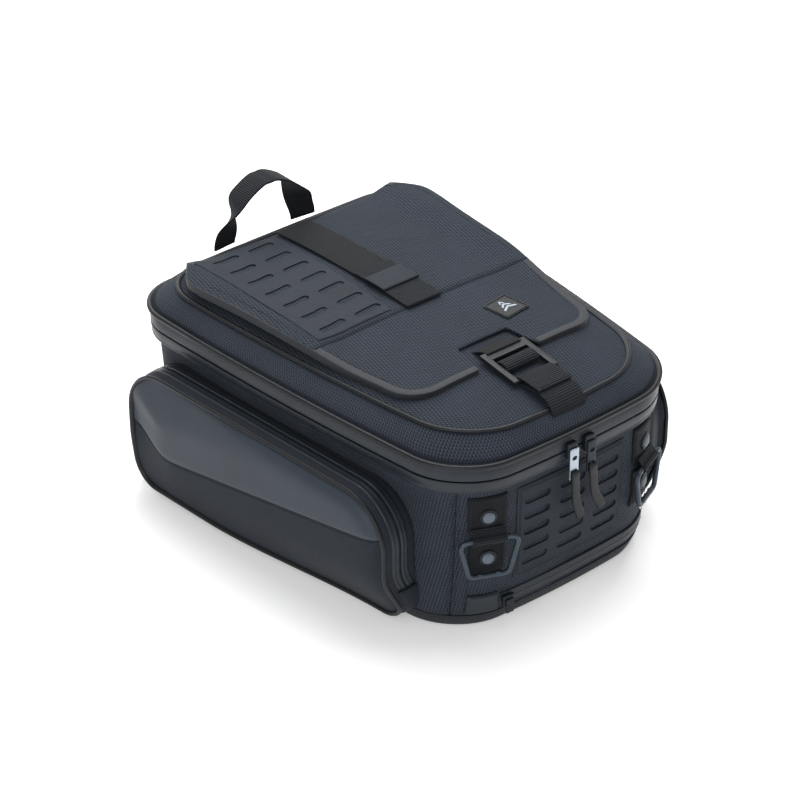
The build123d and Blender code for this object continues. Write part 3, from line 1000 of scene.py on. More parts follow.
def rounded_box(x0, x1, y0, y1, r, steps=3):
    """Closed profile of a rectangle with round corners."""
    points = []
    low_x, high_x, low_y, high_y = x0 + r, x1 - r, y0 + r, y1 - r
    corners = ((high_x, high_y, 0), (low_x, high_y, 90), (low_x, low_y, 180), (high_x, low_y, 270))
    for cx, cy, start in corners:
        for k in range(steps + 1):
            a = math.radians(start + 90 * k / steps)
            points.append((cx + r * math.cos(a), cy + r * math.sin(a)))
    return points


def strap(name, points, outs, width, thick, material, body):
    profile = rounded_box(-width / 2, width / 2, -thick, 0, thick * 0.45)
    return sweep(name, list(zip(points, outs)), profile, material, body)


FLAP_PROFILE = rounded_box(-1.2, 6.8, -6.6, 1.7, 1.0)
FOLD_COUNT = 60


def flap_stitch_line(places, lift):
    """Stitch line over the flap's cloth through (x, y) places."""
    return [((x, y, float(flap_height(x, y)) + lift(y)), UP) for x, y in places]


def build_flap():
    front = flap_grid(None, FLAP_SEAM + 1.5, 30)
    rear = flap_grid(FLAP_SEAM - 1.5, FLAP_REAR, 42, lift=0.7)
    thick = FLAP_THICK - 0.3
    for name, grid in (("flap_front_panel", front), ("flap_rear_panel", rear)):
        panel = cloth(name + "_cloth", grid, thick, ballistic, "flap", uv=flat_uv(grid))
        label(panel, "ballistic_fabric", name)

    # the rear edge is folded down towards the lid
    end = np.full(FOLD_COUNT, FLAP_REAR)
    xs = np.linspace(-1, 1, FOLD_COUNT) * float(flap_half(FLAP_REAR)) * 0.995
    top = flap_height(xs, end) + 0.6
    low = lid_height(xs, end) + 2.6
    fold = ((-1.5, top), (0.4, top - 0.8), (1.0, (top + low) / 2), (0.4, low))
    grid = np.array([np.c_[xs, np.full(FOLD_COUNT, FLAP_REAR + back), z] for back, z in fold])
    label(cloth("flap_rear_fold", grid, 1.8, binding, "flap"), "smooth_strap")

    rows = []
    for y in (FLAP_SEAM + 1.5, FLAP_SEAM + 4.5):
        xs = np.linspace(-float(flap_half(y)) + 8, float(flap_half(y)) - 8, 90)
        rows.append(flap_stitch_line([(x, y) for x in xs], lambda y: 0.8))
    for side_name, side in SIDE_SIGN.items():
        path = flap_edge_path(side)
        up = np.tile([0, 0, 1.0], (len(path), 1))
        up[:, 0] = side * 0.12
        profile = [(-a, o) for a, o in FLAP_PROFILE] if side < 0 else FLAP_PROFILE
        edge = sweep("flap_edge_" + side_name, list(zip(path, up)), profile, binding, "flap")
        # one CAD node holds the binding of both sides
        label(edge, "smooth_strap", "flap_binding" if side < 0 else None)
        inner = [(x - side * 7.6, y) for x, y, _ in path if y > -92]
        rows.append(flap_stitch_line(inner, lambda y: 0.8 if y > FLAP_SEAM else 0.1))
    stitches("flap_stitches", rows, "flap")

    build_flap_molle()
    build_flap_webbing()
    build_patch()


# The slotted panel's outer and inner edge at its front and at its rear end.
MOLLE_Y = (-4, 171)
MOLLE_OUT = (-113, -116)
MOLLE_IN = (-31, -22)
MOLLE_COLUMNS = (-88, -48)
MOLLE_ALONG = (0.995, 0.08, 0)
MOLLE_ACROSS = (-0.08, 0.995, 0)


def build_flap_molle():
    ys = np.concatenate([[-4, -3.2, -2], np.arange(1, 169, 3.0), [169.6, 170.4, 171]])
    share = np.concatenate([[0, 0.012, 0.03], np.linspace(0.06, 0.94, 30), [0.97, 0.988, 1]])
    rows = []
    for y in ys:
        left, right = np.interp(y, MOLLE_Y, MOLLE_OUT), np.interp(y, MOLLE_Y, MOLLE_IN)
        x = left + (right - left) * share
        rows.append(np.c_[x, np.full(len(x), y), flap_height(x, y) + 1.9])
    grid = np.array(rows)
    uv = flat_uv(grid)
    panel = cloth("flap_slotted_panel", grid, 1.8, rubberised, "flap", uv=uv, round_edge=0.6)
    cutters = []
    for x in MOLLE_COLUMNS:
        for k in range(7):
            y = 161 - 25.5 * k
            place = (x, y, float(flap_height(x, y)))
            cutters.append(slot_prism(place, MOLLE_ALONG, MOLLE_ACROSS, UP))
    cut(panel, cutters)
    label(panel, "rubberised_panel", "flap_molle_panel")


def webbing_piece(name, ys, extra, width, material):
    """Tape along the middle of the flap, lifted by extra."""
    lift = 3.4 - 1.4 * smooth((30 - ys) / 40) + extra
    points = np.c_[np.zeros(len(ys)), ys, flap_height(0, ys) + lift]
    outs = np.tile([0, 0, 1.0], (len(ys), 1))
    return strap(name, points, outs, width, 1.6, material, "flap")


def build_flap_webbing():
    ys = np.arange(176, -12.5, -3.0)
    tape = webbing_piece("flap_webbing_tape", ys, 0.0, WEBBING, flat_webbing)
    label(tape, "webbing", "flap_webbing")
    for name, y0, y1, extra, wide, material, slot, node in (
        ("keeper_fold_rear", 62, 44, 1.7, 1, webbing, "webbing", None),
        ("keeper_band", 46, 19, 3.4, 3, rubberised, "smooth_strap", "webbing_keeper"),
        ("keeper_fold_front", 22, -13, 1.5, 1, webbing, "webbing", None),
    ):
        ys = np.linspace(y0, y1, 12)
        label(webbing_piece(name, ys, extra, WEBBING + wide, material), slot, node)


def build_patch():
    _, _, (cx, cy, _) = middle_of("label_patch")
    place = Matrix.Translation((cx * MM, cy * MM, float(flap_height(cx, cy)) * MM))
    place = place @ Matrix.Rotation(math.radians(8), 4, "Z")

    def piece(name, verts, faces, material, node=None):
        obj = new_piece(name, verts, faces, material, None, "flap")
        obj.data.transform(place)
        fix_normals(obj)
        return label(obj, "patch_rubber", node)

    def plate(name, loop, z0, z1, material, node=None):
        verts = [(x, y, z) for z in (z0, z1) for x, y in loop]
        sharpen(piece(name, verts, prism_faces(len(loop)), material, node), 40)

    plate("patch_base", rounded_box(-15, 15, -15, 15, 2), -0.6, 1.2, patch_black, "label_patch")
    rim_out = rounded_box(-14, 14, -14, 14, 1.6)
    rim_in = rounded_box(-12.8, 12.8, -12.8, 12.8, 1.0)
    n = len(rim_out)
    verts = [(x, y, z0) for z0 in (1.0, 1.7) for loop in (rim_out, rim_in) for x, y in loop]
    faces = []
    for i in range(n):
        a, b, c, d = (i + k * n for k in range(4))
        a2, b2, c2, d2 = ((i + 1) % n + k * n for k in range(4))
        faces += [(a, a2, c2, c), (c, c2, d2, d), (d, d2, b2, b), (b, b2, a2, a)]
    piece("patch_rim", verts, faces, patch_black)
    for k, width in enumerate((15.0, 10.0, 5.0)):
        y, half = -6.6 + 4.9 * k, width / 2
        arrow = [(-half, y), (0, y + 3.6), (half, y)]
        arrow += [(half, y + 2.4), (0, y + 6.0), (-half, y + 2.4)]
        plate(f"patch_mark_{k + 1}", arrow, 1.1, 1.75, patch_white)


# ---- front details ---------------------------------------------------------------------------
# (height, lift) pairs across the lower front zip.
FRONT_ZIP_PROFILE = (
    (20, 0.4), (20.6, 1.8), (21.6, 2.2), (23, 1.8), (25.2, 2.4), (26.5, 2.7), (27, 1.7),
    (27.5, 2.7), (29, 2.4), (31.2, 1.8), (32.4, 2.2), (33.4, 1.8), (34, 0.4),
)


def build_front_panel_details():
    grid = wall_patch(-62, 62, 44, 140, -1, 1.6, 3.0)
    panel = cloth("front_slotted_panel", grid, 1.6, rubberised, round_edge=0.8)
    cutters = []
    for z in (124, 108, 92, 76, 60):
        for x in (-40, 0, 40):
            p, n = wall_point(x, z, -1)
            cutters.append(slot_prism(p, np.cross(np.array([0, 0, 1.0]), n), UP, n))
    cut(panel, cutters)
    label(panel, "rubberised_panel", "front_molle_panel")
    rows = []
    for x0, x1, z0, z1 in (
        (-59, 59, 47, 47), (-59, 59, 137, 137), (-59, -59, 47, 137), (59, 59, 47, 137),
    ):
        shares = np.linspace(0, 1, 40)
        rows.append([wall_point(x0 + (x1 - x0) * t, z0 + (z1 - z0) * t, -1, 2.3) for t in shares])
    stitches("front_panel_stitches", rows)

    xs = np.linspace(-76, 108, 75)
    grid = np.array([[wall_point(x, z, -1, lift)[0] for x in xs] for z, lift in FRONT_ZIP_PROFILE])
    label(cloth("front_zip_band", grid, 2.0, coated), "zip_tape", "front_pocket_zip")

    grid = wall_patch(-104, -75.6, 17, 37, -1, 3.2, 1.4)
    garage = cloth("front_zip_garage", grid, 3.2, coated, round_edge=1.6)
    label(garage, "rubberised_panel", "front_pocket_garage")


END_SIGN = {"front": -1, "rear": 1}
TIE_FRONT = (90, -200.7)
TIE_FRONT_TURN = math.radians(24)
TIE_REAR_X = 89


class TieFrame:
    """Frame of one tie-down loop: u runs along the wall, w straight out of it, z up."""

    def __init__(self, end, side):
        if end < 0:
            turn = side * TIE_FRONT_TURN
            self.origin = np.array([side * TIE_FRONT[0], TIE_FRONT[1]])
            self.along = np.array([math.cos(turn), math.sin(turn)])
        else:
            self.origin = np.array([side * TIE_REAR_X, BELLY[3]])
            self.along = np.array([-1.0, 0.0])
        self.out = np.array([self.along[1], -self.along[0]])

    def world(self, u, w, z):
        p = self.origin + self.along * u + self.out * w
        return np.array([p[0], p[1], z])

    def wall(self, u, z, lift):
        """Distance of the wall, lifted, along w at u."""
        flat = outline(at_height(WALL, z), lift) - self.origin
        us, ws = flat @ self.along, flat @ self.out
        near = (np.abs(us) < 45) & (ws > -40)
        order = np.argsort(us[near])
        return np.interp(u, us[near][order], ws[near][order])

    def patch(self, u0, u1, z0, z1, lift, step=2.0):
        us = np.linspace(u0, u1, max(4, int((u1 - u0) / step) + 1))
        zs = np.linspace(z0, z1, max(4, int((z1 - z0) / step) + 1))
        rows = [zip(us, self.wall(us, z, lift)) for z in zs]
        return np.array([[self.world(u, w, z) for u, w in row] for row, z in zip(rows, zs)])

    def normal(self):
        return np.array([self.out[0], self.out[1], 0.0])


TAB_HALF = 18
TAB_LOW = 60
TAB_HIGH = 142
BAR_Z = 102
BAR_OUT = 6.6
RIVETS_Z = (122, 80)
SLEEVE_RADIUS = 4.0
# (radius, height) pairs of the small feet where a ring's wire meets its bar.
NUB = ((0, 0), (1.9, 0), (2.4, 0.5), (2.4, 4.2), (1.9, 4.8), (0, 4.8))


def build_tab(place, tag, bar):
    """Webbing patches on the wall and the sleeve between them, which goes round the ring's bar."""
    low_patch = place.patch(-TAB_HALF + 1.5, TAB_HALF - 1.5, TAB_LOW, BAR_Z - 4, 2.0)
    high_patch = place.patch(-TAB_HALF, TAB_HALF, BAR_Z + 6, TAB_HIGH, 2.2)
    label(cloth("tab_lower_" + tag, low_patch, 2.2, flat_webbing), "webbing")
    label(cloth("tab_upper_" + tag, high_patch, 2.4, flat_webbing), "webbing")
    r = SLEEVE_RADIUS
    start, stop = float(place.wall(0, BAR_Z + 9, 3.4)), float(place.wall(0, BAR_Z - 8, 3.0))
    points = []
    for t in np.linspace(0, 1, 7):
        points.append((start + (bar - start) * float(smooth(t)), BAR_Z + 10 - 6 * t))
    for a in np.linspace(1.3, -1.5, 12):
        points.append((bar + r * math.cos(a), BAR_Z + r * math.sin(a)))
    for t in np.linspace(0.25, 1, 5):
        points.append((bar + (stop - bar) * float(smooth(t)), BAR_Z - r - 4 * t))
    points = np.array([place.world(0, w, z) for w, z in points])
    across = np.array([place.along[0], place.along[1], 0.0])
    outs = np.cross(across, np.gradient(points, axis=0))
    if np.dot(outs[10], place.normal()) < 0:
        outs = -outs
    sleeve = strap("tab_sleeve_" + tag, points, outs, 2 * TAB_HALF - 6, 1.4, webbing, "body")
    label(sleeve, "webbing", "tie_down_tab_" + tag)


def tab_stitch_lines(place):
    """A box of stitches on each of the two patches."""
    rows = []
    u = TAB_HALF - 3
    for z0, z1 in ((TAB_LOW + 3, BAR_Z - 9), (BAR_Z + 9, TAB_HIGH - 3)):
        corners = [(-u, z0), (u, z0), (u, z1), (-u, z1), (-u, z0)]
        for (ua, za), (ub, zb) in zip(corners[:-1], corners[1:]):
            line = []
            for t in np.linspace(0, 1, 14):
                at, z = ua + (ub - ua) * t, za + (zb - za) * t
                line.append((place.world(at, float(place.wall(at, z, 2.5)), z), place.normal()))
            rows.append(line)
    return rows


def build_tie_downs():
    rows = []
    for end_name, end in END_SIGN.items():
        for side_name, side in SIDE_SIGN.items():
            tag = f"{end_name}_{side_name}"
            place = TieFrame(end, side)
            bar = BAR_OUT if end < 0 else BAR_OUT + 1.2
            build_tab(place, tag, bar)
            rows += tab_stitch_lines(place)
            for k, z in enumerate(RIVETS_Z):
                root = place.world(0, float(place.wall(0, z, 2.1)), z)
                rivet(f"rivet_{tag}_{k + 1}", root, place.normal())
            bevelled("d_ring_" + tag, 0.5, ring_metal, "ring_" + tag, "black_metal")
            low, _ = corners_mm("d_ring_" + tag)
            out = bar if end < 0 else float(np.dot((low[:2] + 2.2 - place.origin), place.out))
            for u, letter in ((-8, "a"), (8, "b")):
                foot = place.world(u, out, low[2] + 0.4)
                name = f"ring_nub_{tag}_{letter}"
                nub = lathe(name, foot, (0, 0, 1), NUB, ring_metal, "ring_" + tag, 16)
                label(nub, "black_metal")
    stitches("tab_stitches", rows)


def lathe(name, centre, axis, profile, material, body, count=32):
    """Turned piece: (radius, height) pairs about an axis through centre."""
    axis = np.array(axis, float) / np.linalg.norm(axis)
    side = np.cross(axis, (0.0, 0.0, 1.0) if abs(axis[2]) < 0.9 else (1.0, 0.0, 0.0))
    side /= np.linalg.norm(side)
    other = np.cross(axis, side)
    centre = np.array(centre, float)
    verts, faces, rings = [], [], []
    for r, h in profile:
        if r < 1e-6:
            rings.append([len(verts)])
            verts.append(centre + axis * h)
        else:
            rings.append(list(range(len(verts), len(verts) + count)))
            for k in range(count):
                a = 2 * math.pi * k / count
                verts.append(centre + axis * h + (side * math.cos(a) + other * math.sin(a)) * r)
    for a, b in zip(rings[:-1], rings[1:]):
        for k in range(count):
            k2 = (k + 1) % count
            quad = [a[k % len(a)], a[k2 % len(a)], b[k2 % len(b)], b[k % len(b)]]
            quad = list(dict.fromkeys(quad))
            if len(quad) > 2:
                faces.append(tuple(quad))
    obj = new_piece(name, verts, faces, material, None, body)
    fix_normals(obj)
    sharpen(obj, 45)
    return obj


RIVET_COLLAR = ((0, -0.6), (7.4, -0.6), (7.8, 0.2), (7.4, 1.2), (6.2, 1.5), (5.6, 1.0), (0, 1.0))
RIVET_CAP = ((0, 0.6), (5.3, 0.6), (5.5, 1.4), (5.0, 2.2), (3.6, 2.7), (1.8, 2.95), (0, 3.0))


def rivet(name, place, axis):
    """Snap cap: a smooth cap in a dark pressed ring."""
    ring = lathe(name + "_ring", place, axis, RIVET_COLLAR, black_metal, "body")
    dome = lathe(name + "_cap", place, axis, RIVET_CAP, cap_skin, "body")
    # one CAD node holds all the caps
    label(ring, "black_metal", "tab_rivets" if name.endswith("front_left_1") else None)
    label(dome, "black_metal")


# ---- side pockets ----------------------------------------------------------------------------
POCKET_X = 139
POCKET_Y = 13
POCKET_HALF = 165
POCKET_LOW = 8
POCKET_HIGH = 135
POCKET_TOP_R = 46
POCKET_LOW_R = 24
POCKET_EDGE = 38
POCKET_CROWN = 50
POCKET_TURN = math.atan2(BELLY[1] - BELLY[2], BELLY[3] + BELLY[4])


def pocket_world(points, side):
    p = np.asarray(points, float)
    c, s = math.cos(POCKET_TURN), math.sin(POCKET_TURN)
    x = POCKET_X + p[..., 0] * c + p[..., 1] * s
    y = POCKET_Y - p[..., 0] * s + p[..., 1] * c
    return np.stack([side * x, y, p[..., 2]], axis=-1)


def pocket_high(y):
    over = np.maximum(np.abs(y) - (POCKET_HALF - POCKET_TOP_R), 0)
    return POCKET_HIGH - POCKET_TOP_R + np.sqrt(np.maximum(POCKET_TOP_R ** 2 - over ** 2, 0))


def pocket_low(y):
    over = np.maximum(np.abs(y) - (POCKET_HALF - POCKET_LOW_R), 0)
    return POCKET_LOW + POCKET_LOW_R - np.sqrt(np.maximum(POCKET_LOW_R ** 2 - over ** 2, 0))


def pocket_inset(y, z):
    """Distance inwards from the pocket's outline."""
    mid = (POCKET_LOW + POCKET_HIGH) / 2
    r = np.where(z > mid, POCKET_TOP_R, POCKET_LOW_R)
    qy = np.abs(y) - POCKET_HALF + r
    qz = np.abs(z - mid) - (POCKET_HIGH - POCKET_LOW) / 2 + r
    outside = np.hypot(np.maximum(qy, 0), np.maximum(qz, 0)) + np.minimum(np.maximum(qy, qz), 0)
    return -(outside - r)


def pocket_depth(y, z):
    """How far out the pocket's edge stands: it draws in towards the bottom, most at the -Y end."""
    front = smooth((70 - y) / 220)
    low = smooth((70 - z) / 62)
    return POCKET_EDGE - (5 + 19 * front) * low


def pocket_split(y):
    """Lower edge of the moulded panel."""
    knee = 112
    forward = 58 + 0.165 * (knee - y)
    rearward = 58 + 0.36 * (y - knee)
    return np.logaddexp(forward / 3, rearward / 3) * 3


def soft_min(a, b, blend):
    return -np.logaddexp(-a / blend, -b / blend) * blend


def pocket_moulded_x(y, z):
    """How far out the moulded panel stands: flat, with creased slopes to the top and the rear."""
    inset = pocket_inset(y, z)
    edge = POCKET_EDGE + 1.0 + 10.5 * (1 - np.exp(-np.maximum(inset, 0) / 6.5))
    crease = 92 + 0.175 * (108 - y)
    upper = POCKET_CROWN + 1.2 - 0.30 * (z - crease)
    rear = POCKET_CROWN + 1.2 - 0.24 * (y - (108 + 0.5 * np.maximum(z - 88, 0)))
    face = soft_min(upper, np.full_like(upper, POCKET_CROWN + 1.2), 0.5)
    face = soft_min(face, rear, 0.5)
    fade = smooth((y + 175) / 120)
    face = (POCKET_CROWN - 0.5) * (1 - fade) + face * fade
    roll = 3.6 * np.exp(-np.maximum(z - pocket_split(y), 0) / 2.2)
    return np.maximum(soft_min(face, edge, 1.2) - roll, POCKET_EDGE + 0.5)


def pocket_lower_x(y, z):
    """How far out the woven panel stands, from the pocket's edge up to the moulded lip."""
    inset = pocket_inset(y, z)
    depth = pocket_depth(y, z)
    share = np.clip((z - pocket_low(y)) / np.maximum(pocket_split(y) - pocket_low(y), 1), 0, 1)
    lip = pocket_moulded_x(y, pocket_split(y) + 0.4) - 0.2
    bulge = depth + (lip - depth) * share ** 0.8
    edge = depth + 1.0 + 12 * (1 - np.exp(-np.maximum(inset, 0) / 9))
    return soft_min(bulge, edge, 1.0)


def pocket_columns():
    wide = np.linspace(-POCKET_HALF + 12, POCKET_HALF - 12, 62)
    ends = np.array([0.05, 0.4, 1.0, 2.0, 3.4, 5.2, 7.4, 9.6])
    return np.concatenate([-POCKET_HALF + ends, wide, (POCKET_HALF - ends)[::-1]])


def quarter(centre, radius, start, count):
    """Quarter turn, counter-clockwise from start degrees, in (y, z)."""
    turns = np.linspace(0, math.pi / 2, count) + math.radians(start)
    return [(centre[0] + radius * math.cos(a), centre[1] + radius * math.sin(a)) for a in turns]


def pocket_path(z_rear, z_front, step=4.0, grow=0.0):
    """Outline from the rear side at z_rear, over the top, down the front side to z_front."""
    half, top, r = POCKET_HALF + grow, POCKET_HIGH + grow, POCKET_TOP_R + grow
    points = [(half, z) for z in np.arange(z_rear, top - r, step)]
    points += quarter((half - r, top - r), r, 0, 20)
    points += [(y, top) for y in np.arange(half - r - step, -half + r, -step)]
    points += quarter((-half + r, top - r), r, 90, 20)
    points += [(-half, z) for z in np.arange(top - r - step, z_front, -step)]
    return np.array(points)


def pocket_loop(grow=0.0):
    """Whole outline as a closed loop in (y, z)."""
    half, r, low = POCKET_HALF + grow, POCKET_LOW_R + grow, POCKET_LOW - grow
    points = list(pocket_path(low + r, low + r, grow=grow))
    points += quarter((-half + r, low + r), r, 180, 12)
    points += [(y, low) for y in np.arange(-half + r + 4, half - r, 4)]
    points += quarter((half - r, low + r), r, 270, 12)[:-1]
    return np.array(points)


def loop_outwards(line, closed):
    """Outward direction at every point of a line in (y, z)."""
    d = np.roll(line, -1, 0) - np.roll(line, 1, 0) if closed else np.gradient(line, axis=0)
    d /= np.linalg.norm(d, axis=1, keepdims=True)
    return np.c_[d[:, 1], -d[:, 0]]


side_sections = [BASE_LOW] + WALL


def side_reach(y, z):
    """Half width of the bag at y, z."""
    flat = outline(at_height(side_sections, float(z)))
    right = flat[flat[:, 0] > 60]
    right = right[np.argsort(right[:, 1])]
    return float(np.interp(y, right[:, 1], right[:, 0]))


# (distance behind the pocket's edge, lift) pairs; None reaches back to the bag's wall.
GUSSET = ((None, -0.2), (30, -0.1), (24, 0), (16, 0), (8, 0), (1.2, 0), (0.3, -0.5))
POCKET_ZIP = (
    (25.2, 0.2), (24.8, 1.2), (24.0, 1.6), (23.0, 1.2), (20, 1.7), (17.6, 2.0), (17.0, 1.0),
    (16.4, 2.0), (13, 1.8), (10.2, 1.2), (9.4, 1.6), (8.6, 1.2), (8.2, 0.2),
)
HOOD = ((29, 0.2), (28.4, 1.8), (25, 2.6), (17, 3.2), (9, 2.6), (5.4, 1.8), (5, 0.2))
HOOD_TOP = 47
PULL_STEPS = 18


def pocket_panel(name, side, low, high, steps, height, thick, material, body):
    """Shell of the pocket's cover between two lines, as far out as height(y, z) says."""
    ys = pocket_columns()
    edge = np.array([0, 0.012, 0.03, 0.06])
    rows = []
    for t in np.concatenate([edge, np.linspace(0.1, 0.9, steps), (1 - edge)[::-1]]):
        z = low + (high - low) * t
        rows.append(np.stack([height(ys, z), ys, z], axis=1))
    grid = pocket_world(np.array(rows), side)
    return cloth(name, grid[:, ::-1] if side < 0 else grid, thick, material, body)


def pocket_skirt(name, side, line, profile, material, closed, thick):
    """Band across the pocket's side wall, along a line in (y, z)."""
    out = loop_outwards(line, closed)
    depth = pocket_depth(line[:, 0], line[:, 1])
    rows = []
    for back, lift in profile:
        p = line + out * lift
        if back is None:
            wall = []
            for y, z in p:
                reach = side_reach(POCKET_Y + y, max(z, 0.5))
                wall.append(reach - POCKET_X - y * math.sin(POCKET_TURN) - 1.5)
            x = np.minimum(np.array(wall), depth - 1.0)
        else:
            x = depth - back
        rows.append(np.stack([x, p[:, 0], p[:, 1]], axis=1))
    return cloth(name, pocket_world(np.array(rows), side), thick, material, "body", closed=closed)


def hood_line():
    """The pocket's outline round its lower front corner."""
    path, loop = pocket_path(44, 15), pocket_loop()
    knee = POCKET_LOW + POCKET_LOW_R
    rise = path[(path[:, 0] < -POCKET_HALF + 1) & (path[:, 1] < HOOD_TOP) & (path[:, 1] > knee + 1)]
    corner = loop[(loop[:, 0] < -POCKET_HALF + 14) & (loop[:, 1] < knee)]
    return np.vstack([rise, corner[np.argsort(-corner[:, 1])]])


def build_pocket(side_name):
    side = SIDE_SIGN[side_name]
    cover = "pocket_cover_" + side_name
    ys = pocket_columns()
    low, high, seam_z = pocket_low(ys), pocket_high(ys), pocket_split(ys)
    split = np.minimum(np.maximum(seam_z, low + 0.6), high - 0.6)
    shell = pocket_panel(
        "pocket_shell_" + side_name, side, split, high, 26, pocket_moulded_x, 2.2, moulded, cover
    )
    label(shell, "moulded_foam_skin", "pocket_moulded_panel_" + side_name)
    lower = pocket_panel(
        "pocket_cloth_" + side_name, side, low, split, 16, pocket_lower_x, 1.8, fine_twill, cover
    )
    label(lower, "ballistic_fabric", "pocket_lower_panel_" + side_name)

    # one CAD node holds the garages of both pockets
    garages = "pocket_zip_garages" if side > 0 else None
    for name, line, profile, material, closed, thick, slot, node in (
        ("side", pocket_loop(), GUSSET, fine_twill, True, 1.8,
         "ballistic_fabric", "pocket_gusset_" + side_name),
        ("zip_band", pocket_path(41, 44), POCKET_ZIP, coated, False, 1.2,
         "zip_tape", "pocket_zip_" + side_name),
        ("hood", hood_line(), HOOD, fine_twill, False, 1.2, "ballistic_fabric", garages),
    ):
        name = f"pocket_{name}_{side_name}"
        label(pocket_skirt(name, side, line, profile, material, closed, thick), slot, node)

    loop = pocket_loop(0.6)
    out = loop_outwards(loop, True)
    x = pocket_depth(loop[:, 0], loop[:, 1]) + 1.4
    points = pocket_world(np.c_[x, loop], side)
    shifted = pocket_world(np.c_[x + 0.5, loop + out], side)
    path = list(zip(points, shifted - points))
    edge = sweep(
        "pocket_bead_" + side_name, path, bead(2.0, 1.0, 10), piping_skin, cover, closed=True
    )
    label(edge, "piping", "pocket_piping_" + side_name)

    inside = (high - seam_z > 8) & (seam_z - low > 8)
    y, z = ys[inside], seam_z[inside] - 2.6
    line = pocket_world(np.stack([pocket_lower_x(y, z) + 0.2, y, z], axis=1), side)
    stitches("pocket_stitches_" + side_name, [[(p, (side, 0, 0.0)) for p in line]], cover)

    name = "pocket_slider_" + side_name
    bevelled(name, 0.8, black_metal, name, "black_metal")
    name = "pocket_pull_" + side_name
    low, high, middle = middle_of(name)
    z = np.linspace(high[2], low[2], PULL_STEPS)
    sag = 2.5 * np.sin(math.pi * ((high[2] - z) / (high[2] - low[2]))) * 0.5
    points = np.c_[np.full(PULL_STEPS, middle[0]), middle[1] + sag, z]
    profile = rounded_box(-3.6, 3.6, -0.8, 0.8, 0.7)
    path = [(p, (0, 1.0, 0)) for p in points]
    pull = sweep("pocket_pull_strap_" + side_name, path, profile, pull_rubber, name)
    label(pull, "pull_rubber", name)


# ---- handle, straps, buckle ------------------------------------------------------------------
def smooth_path(points, count):
    """Even points along a Catmull-Rom curve through given ones."""
    p = np.array(points, float)
    p = np.vstack([2 * p[0] - p[1], p, 2 * p[-1] - p[-2]])
    dense = []
    for i in range(1, len(p) - 2):
        for t in np.linspace(0, 1, 20, endpoint=False):
            a, b, c, d = p[i - 1], p[i], p[i + 1], p[i + 2]
            square, cube = 2 * a - 5 * b + 4 * c - d, 3 * b - a - 3 * c + d
            dense.append(0.5 * (2 * b + (c - a) * t + square * t * t + cube * t ** 3))
    dense.append(p[-2])
    dense = np.array(dense)
    run = distances(dense)
    at = np.linspace(0, run[-1], count)
    return np.stack([np.interp(at, run, dense[:, k]) for k in range(3)], axis=1)


HANDLE_FOOT = 46
HANDLE_STEPS = 90


def build_handle():
    """Webbing arch: flat along Y on top, turned flat against the lid where it is sewn."""
    low, high, (mid, y, _) = middle_of("carry_handle")
    top = high[2] - 1.5
    right = [(HANDLE_FOOT, 194.5), (45.6, 199), (43, 208), (38, 223), (31, 238)]
    right += [(20, top - 6), (8, top - 0.4)]
    points = [(mid + x, y, z) for x, z in right] + [(mid, y, top)]
    points += [(mid - x, y, z) for x, z in reversed(right)]
    path = smooth_path(points, HANDLE_STEPS)
    share = np.abs(np.linspace(-1, 1, HANDLE_STEPS))
    turn = smooth((share - 0.38) / 0.5) * math.radians(82)
    d = np.gradient(path, axis=0)
    d /= np.linalg.norm(d, axis=1, keepdims=True)
    flat = np.cross(np.array([0, 1.0, 0]), d)
    flat *= np.sign(flat[HANDLE_STEPS // 2][2])
    outs = flat * np.cos(turn)[:, None] + np.array([0, 1.0, 0]) * np.sin(turn)[:, None]
    path[:, 1] += 2.0 * smooth((share - 0.6) / 0.4)
    width = high[1] - low[1] + 1
    profile = rounded_box(-width / 2, width / 2, -2.4, 0, 1.0)
    arch = sweep("handle_webbing", list(zip(path, outs)), profile, webbing, "handle")
    label(arch, "webbing", "carry_handle")
    for side_name, side in SIDE_SIGN.items():
        xs = mid + np.linspace(side * HANDLE_FOOT + 14, side * HANDLE_FOOT - 14, 12)
        rows = []
        for z in np.linspace(179, 196, 12):
            edge = end_edge(at_height([LID_EDGE, LID_SEAM, LID_FIELD], z), 1, 4.4)
            rows.append(np.c_[xs, np.interp(xs, edge[:, 0], edge[:, 1]), np.full(12, z)])
        foot = cloth("handle_foot_" + side_name, np.array(rows), 2.4, webbing, "lid")
        # one CAD node holds both anchors
        label(foot, "webbing", "handle_anchors" if side < 0 else None)


BUCKLE_TILT = 7
BUCKLE_BAR_Y = -158
BUCKLE_BAR_Z = 206
BAR_TURN = 4.0
# (y, z) points of the lid strap: its sewn tail, then under the tail and down the front wall.
STRAP_TAIL = ((-183.5, 208.6), (-180, 209.2), (-172, 209.8), (-164, 210.3))
STRAP_UNDER = (
    (-163, 202.8), (-172, 204.0), (-182, 204.4), (-190, 203.0), (-195.5, 199.6),
    (-198.6, 195.8), (-200.4, 191.6),
)


